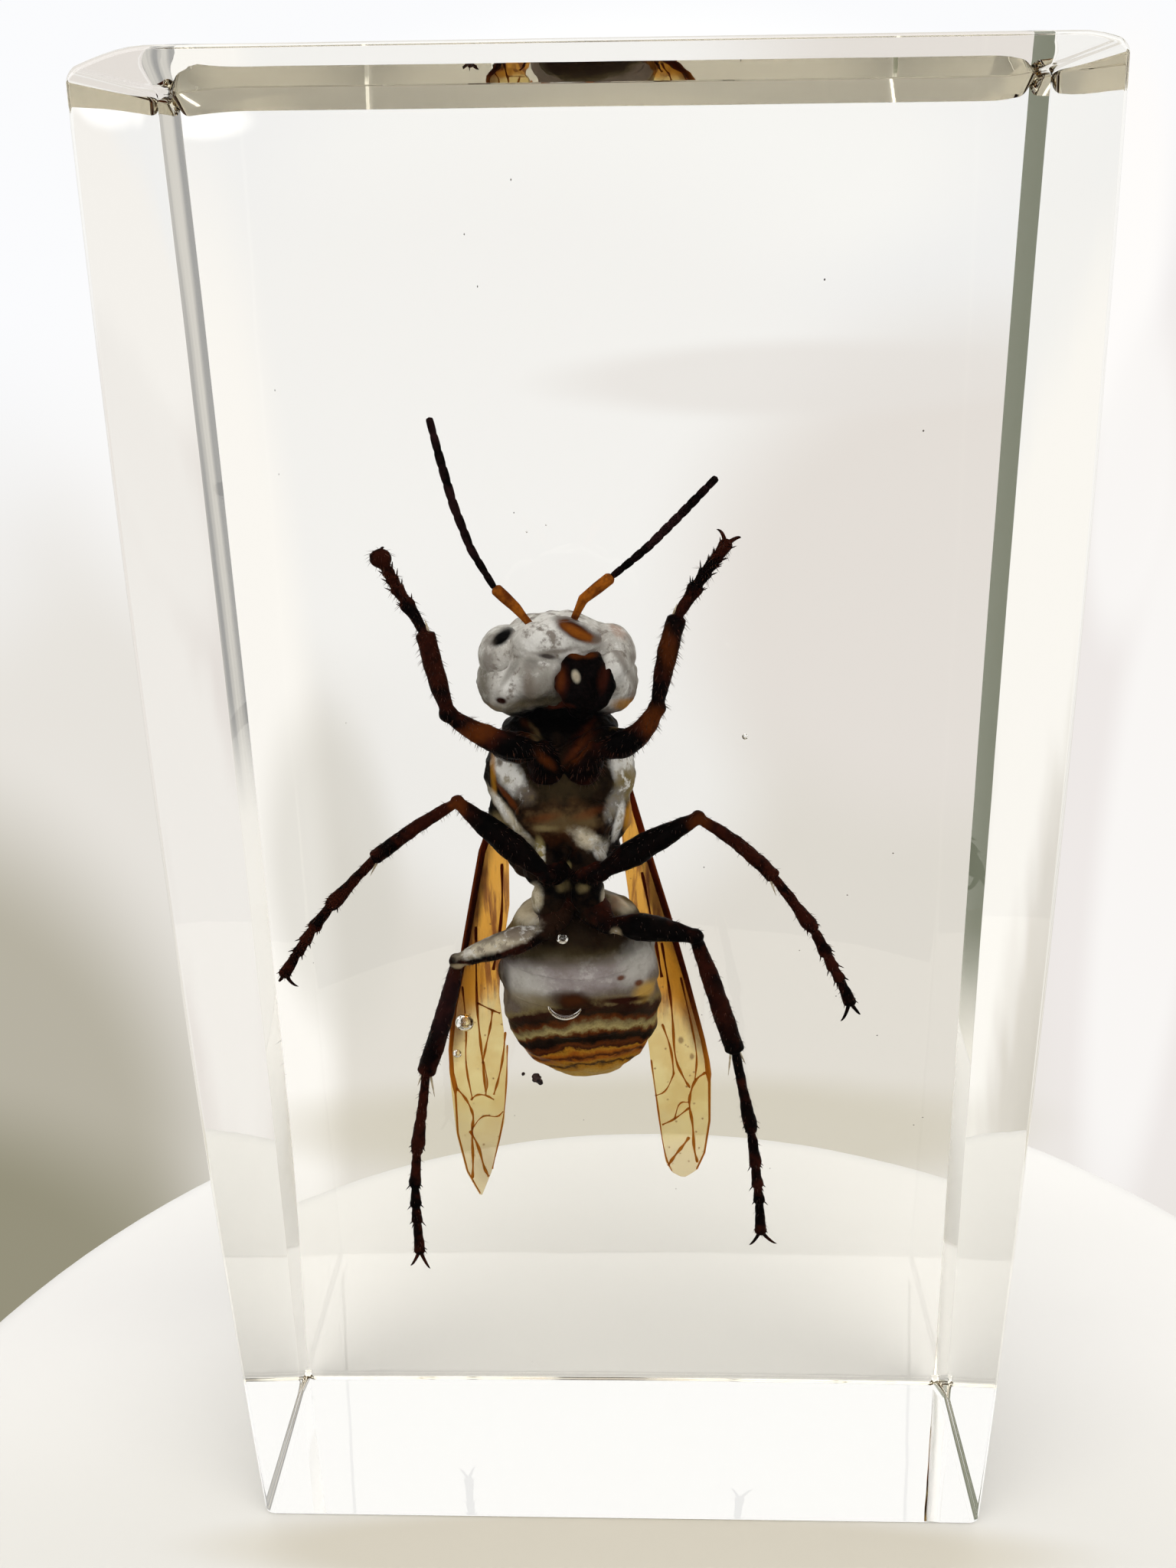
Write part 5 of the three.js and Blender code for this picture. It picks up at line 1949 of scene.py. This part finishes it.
@dataclass
class Stage:
    """A pale round floor and a wide softly glowing backdrop, both with painted light and shade, soft light all
    round, and the camera.
    """

    drop: float = 0.05
    floor_radius: float = 48.5
    floor_middle: Pair = (2.3, -11.8)
    floor_lip: float = 3.0
    floor_foot: float = 420.0
    wall_place: float = 500.0
    wall_half: float = 440.0
    wall_low: float = -520.0
    wall_high: float = 640.0
    lens: float = 33.11
    camera_place: Triple = (2.0, -69.47, 67.56)
    yaw: float = -2.607
    pitch: float = 21.587
    roll: float = 1.394
    upper: Triple = (0.965, 0.97, 0.985)
    lower: Triple = (0.8, 0.77, 0.72)
    light_and_shade_spots: tuple[LightAndShadeSpot, ...] = (
        # Bright spots are painted light and painted highlights; dim spots are painted shadows.
        LightAndShadeSpot(0.0, 85.0, 120.0, 45.0, (1.04, 1.04, 1.03), 0.8),
        LightAndShadeSpot(-60.0, -20.0, 150.0, 110.0, (0.99, 0.985, 0.98)),
        LightAndShadeSpot(-40.0, -145.0, 85.0, 80.0, (0.96, 0.955, 0.95), 0.85),
        LightAndShadeSpot(125.0, -75.0, 105.0, 95.0, (0.85, 0.81, 0.78)),
        LightAndShadeSpot(60.0, 8.0, 90.0, 13.0, (0.87, 0.84, 0.82), 0.7),
        LightAndShadeSpot(230.0, -150.0, 70.0, 240.0, (0.86, 0.82, 0.8)),
        LightAndShadeSpot(172.0, 50.0, 20.0, 70.0, (1.0, 0.98, 0.96)),
        LightAndShadeSpot(216.0, -190.0, 22.0, 190.0, (0.96, 0.94, 0.92), 0.9),
        LightAndShadeSpot(190.0, -35.0, 16.0, 60.0, (0.96, 0.94, 0.92), 0.9),
        LightAndShadeSpot(-163.0, -155.0, 26.0, 235.0, (1.06, 1.04, 1.01)),
        LightAndShadeSpot(-135.0, -200.0, 28.0, 75.0, (0.73, 0.71, 0.66), 0.6),
        LightAndShadeSpot(0.0, -328.0, 160.0, 30.0, (0.68, 0.64, 0.54), 0.85),
        LightAndShadeSpot(-156.0, 101.0, 17.0, 6.0, (1.2, 1.2, 1.2)),
        LightAndShadeSpot(157.0, 94.0, 13.0, 7.0, (1.2, 1.2, 1.2)),
        LightAndShadeSpot(-340.0, -330.0, 130.0, 165.0, (0.47, 0.44, 0.36)),
        LightAndShadeSpot(-390.0, -430.0, 170.0, 110.0, (0.3, 0.28, 0.2)),
    )

    def build(self) -> None:
        """Makes the floor, the backdrop, the light and the camera."""
        self._floor()
        self._wall()
        self._world()
        self._camera()

    def _floor(self) -> None:
        """Makes the round floor: a softly rounded rim, a foot that runs down out of sight, painted light and
        shade.
        """
        profile = [(self.floor_radius - self.floor_lip, -self.drop)]
        for i in range(1, 9):
            angle = math.radians(90 * i / 8)
            profile.append((self.floor_radius - self.floor_lip * (1 - math.sin(angle)),
                            -self.drop - self.floor_lip * (1 - math.cos(angle))))
        profile.append((self.floor_radius, -self.floor_foot))
        form = Form()
        rings = []
        for radius, z in profile:
            turns = [-2 * math.pi * k / 128 for k in range(128)]
            x, y = self.floor_middle
            rings.append([Vector((x + radius * math.cos(t), y + radius * math.sin(t), z)) for t in turns])
        form.rings(rings, (Vector((*self.floor_middle, -self.drop)),
                           Vector((*self.floor_middle, -self.floor_foot))))
        mesh = form.mesh("floor")
        mesh.transform(Matrix.Scale(MM, 4))
        material, wires = Wires.material("pale_floor")
        place = wires.millimetres()
        clouds = wires.grain(place, 0.03, 2.0, 0.5)
        colour = wires.blend(wires.ramp(clouds, 0.3, 0.7), (0.75, 0.74, 0.715, 1), (0.7, 0.69, 0.67, 1))
        depth = wires.axis(place, "Y")
        # Painted light: the floor grows lighter behind the block.
        colour = wires.blend(wires.ramp(depth, 6.0, 26.0), colour, (0.83, 0.82, 0.79, 1))
        # Painted shade: the floor grows darker towards the front.
        colour = wires.blend(wires.ramp(depth, 8.0, -14.0), colour, (0.62, 0.61, 0.575, 1))
        # Painted light: a lighter patch on the floor under the block.
        under = wires.vector("LENGTH", wires.vector("DIVIDE", place, (17.0, 7.5, FAR)))
        colour = wires.blend(wires.ramp(under, 1.3, 0.9), colour, (0.97, 0.945, 0.885, 1))
        # Painted shadow: a soft dark oval just in front of the block's foot.
        away = wires.vector("SUBTRACT", place, (1.0, -12.0, 0.0))
        shade = wires.vector("LENGTH", wires.vector("DIVIDE", away, (22.0, 2.6, FAR)))
        colour = wires.blend(wires.ramp(shade, 1.25, 0.75, 0.0, 0.8), colour, (0.5, 0.465, 0.38, 1))
        wires.surface(colour, clouds, (0.1, 0.5), {"Roughness": 0.7, "Specular IOR Level": 0.2})
        mesh.materials.append(material)
        floor = Workshop.link("floor", mesh)
        floor.visible_glossy = False

    def _wall(self) -> None:
        """Makes the backdrop, a softly glowing panel with painted light and shade in place of a lit wall."""
        half, y = self.wall_half, self.wall_place
        points = [(-half, y, self.wall_low), (half, y, self.wall_low), (half, y, self.wall_high),
                  (-half, y, self.wall_high)]
        mesh = bpy.data.meshes.new("backdrop")
        mesh.from_pydata(points, [], [(0, 1, 2, 3)])
        mesh.transform(Matrix.Scale(MM, 4))
        material, wires = Wires.material("pale_backdrop")
        material.cycles.emission_sampling = "NONE"
        place = wires.millimetres()
        clouds = wires.ramp(wires.grain(place, 0.006, 2.0, 0.5), 0.3, 0.7, -20.0, 20.0)
        height = wires.maths("ADD", wires.axis(place, "Z"), clouds)
        colour = wires.blend(wires.ramp(height, -130.0, 60.0), (*self.lower, 1), (*self.upper, 1))
        # Painted light and shade: each spot lightens or darkens the backdrop's colour.
        for spot in self.light_and_shade_spots:
            away = wires.vector("SUBTRACT", place, (spot.x, 0.0, spot.z))
            far = wires.vector("LENGTH", wires.vector("DIVIDE", away, (spot.wide, FAR, spot.high)))
            mask = wires.maths("MULTIPLY", wires.ramp(far, 1.3, 0.7), spot.share)
            colour = wires.blend(mask, colour, (*spot.tone, 1))
        # The backdrop is no lamp: its glow is painted light standing in for a lit wall.
        light = wires.add("ShaderNodeEmission", {"Color": colour, "Strength": 1.0})
        wires.add("ShaderNodeOutputMaterial", {"Surface": light.outputs[0]})
        mesh.materials.append(material)
        Workshop.link("backdrop", mesh)

    @staticmethod
    def _world() -> None:
        """Makes the soft light all round: bright above and behind, softer in front, dim beside the camera."""
        world = bpy.data.worlds.new("soft_room")
        bpy.context.scene.world = world
        world.use_nodes = True
        world.node_tree.nodes.clear()
        wires = Wires(world.node_tree)
        where = wires.add("ShaderNodeTexCoord").outputs["Generated"]
        axes = wires.add("ShaderNodeSeparateXYZ", {0: where}).outputs
        aside = wires.maths("ABSOLUTE", axes["X"])
        colour = wires.blend(wires.ramp(axes["Y"], -0.3, 0.3), (1.0, 0.99, 0.98, 1), (0.9, 0.9, 0.9, 1))
        mirror = wires.maths("MULTIPLY", wires.ramp(aside, 0.62, 0.45), wires.ramp(axes["Y"], -0.2, -0.5))
        mirror = wires.maths("MULTIPLY", mirror, wires.ramp(axes["Z"], 0.24, 0.1))
        colour = wires.blend(mirror, colour, (0.02, 0.02, 0.021, 1))
        window = wires.maths("MULTIPLY", wires.ramp(axes["Z"], 0.2, 0.4), wires.ramp(axes["Y"], -0.1, -0.4))
        colour = wires.blend(window, colour, (2.7, 2.65, 2.6, 1))
        corner = wires.maths("MULTIPLY", wires.ramp(aside, 0.6, 0.66), wires.ramp(axes["Y"], 0.15, 0.3))
        waves = wires.add("ShaderNodeMapping", {"Vector": where, "Scale": (13.0, 0.0, 0.7)}).outputs[0]
        streak = wires.ramp(wires.grain(waves, 1.0, 2.0, 0.6), 0.4, 0.62)
        grey = wires.blend(streak, (0.68, 0.66, 0.62, 1), (0.34, 0.34, 0.34, 1))
        grey = wires.blend(wires.ramp(axes["Z"], -0.3, -0.38), grey, (0.94, 0.92, 0.88, 1))
        green = wires.blend(wires.ramp(axes["Z"], -0.44, -0.52), (0.195, 0.21, 0.155, 1), (0.95, 0.92, 0.84, 1))
        left = wires.ramp(axes["X"], 0.1, -0.1)
        colour = wires.blend(corner, colour, wires.blend(left, grey, green))
        seen = wires.add("ShaderNodeLightPath").outputs["Is Camera Ray"]
        colour = wires.blend(seen, colour, (0.93, 0.93, 0.935, 1))
        world.cycles.sampling_method = "NONE"
        light = wires.add("ShaderNodeBackground", {"Color": colour, "Strength": 1.0})
        wires.add("ShaderNodeOutputWorld", {"Surface": light.outputs[0]})

    def _camera(self) -> None:
        """Places the camera."""
        yaw, pitch, roll = (math.radians(a) for a in (self.yaw, self.pitch, self.roll))
        ahead = Vector((math.sin(yaw) * math.cos(pitch), math.cos(yaw) * math.cos(pitch), -math.sin(pitch)))
        level = Vector((math.cos(yaw), -math.sin(yaw), 0.0))
        down = ahead.cross(level)
        right = level * math.cos(roll) + down * math.sin(roll)
        below = down * math.cos(roll) - level * math.sin(roll)
        data = bpy.data.cameras.new("camera")
        data.lens = self.lens
        data.sensor_width = 36.0
        data.clip_start = 0.002
        camera = bpy.data.objects.new("camera", data)
        bpy.context.scene.collection.objects.link(camera)
        turn = Matrix((right, -below, -ahead)).transposed().to_4x4()
        camera.matrix_world = Matrix.Translation(Vector(self.camera_place) * MM) @ turn
        bpy.context.scene.camera = camera


def render_look() -> None:
    """Sets how light bounces in the clear block and how brightness is shown."""
    scene = bpy.context.scene
    scene.view_settings.view_transform = "Standard"
    cycles = scene.cycles
    cycles.max_bounces = 20
    cycles.glossy_bounces = 16
    cycles.transmission_bounces = 18
    cycles.diffuse_bounces = 4


def main() -> None:
    """Builds the object and its stage, and reports each piece."""
    logging.basicConfig(level=logging.INFO, format="%(name)s: %(message)s")
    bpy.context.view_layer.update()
    for part in (ResinBlock(), Head(), Thorax(), Gaster(), FORE_LEGS, MID_LEGS, HIND_LEGS, *FEELERS,
                 LEFT_WING, RIGHT_WING, Specks()):
        part.build()
    Stage().build()
    render_look()


if __name__ == "__main__":
    main()
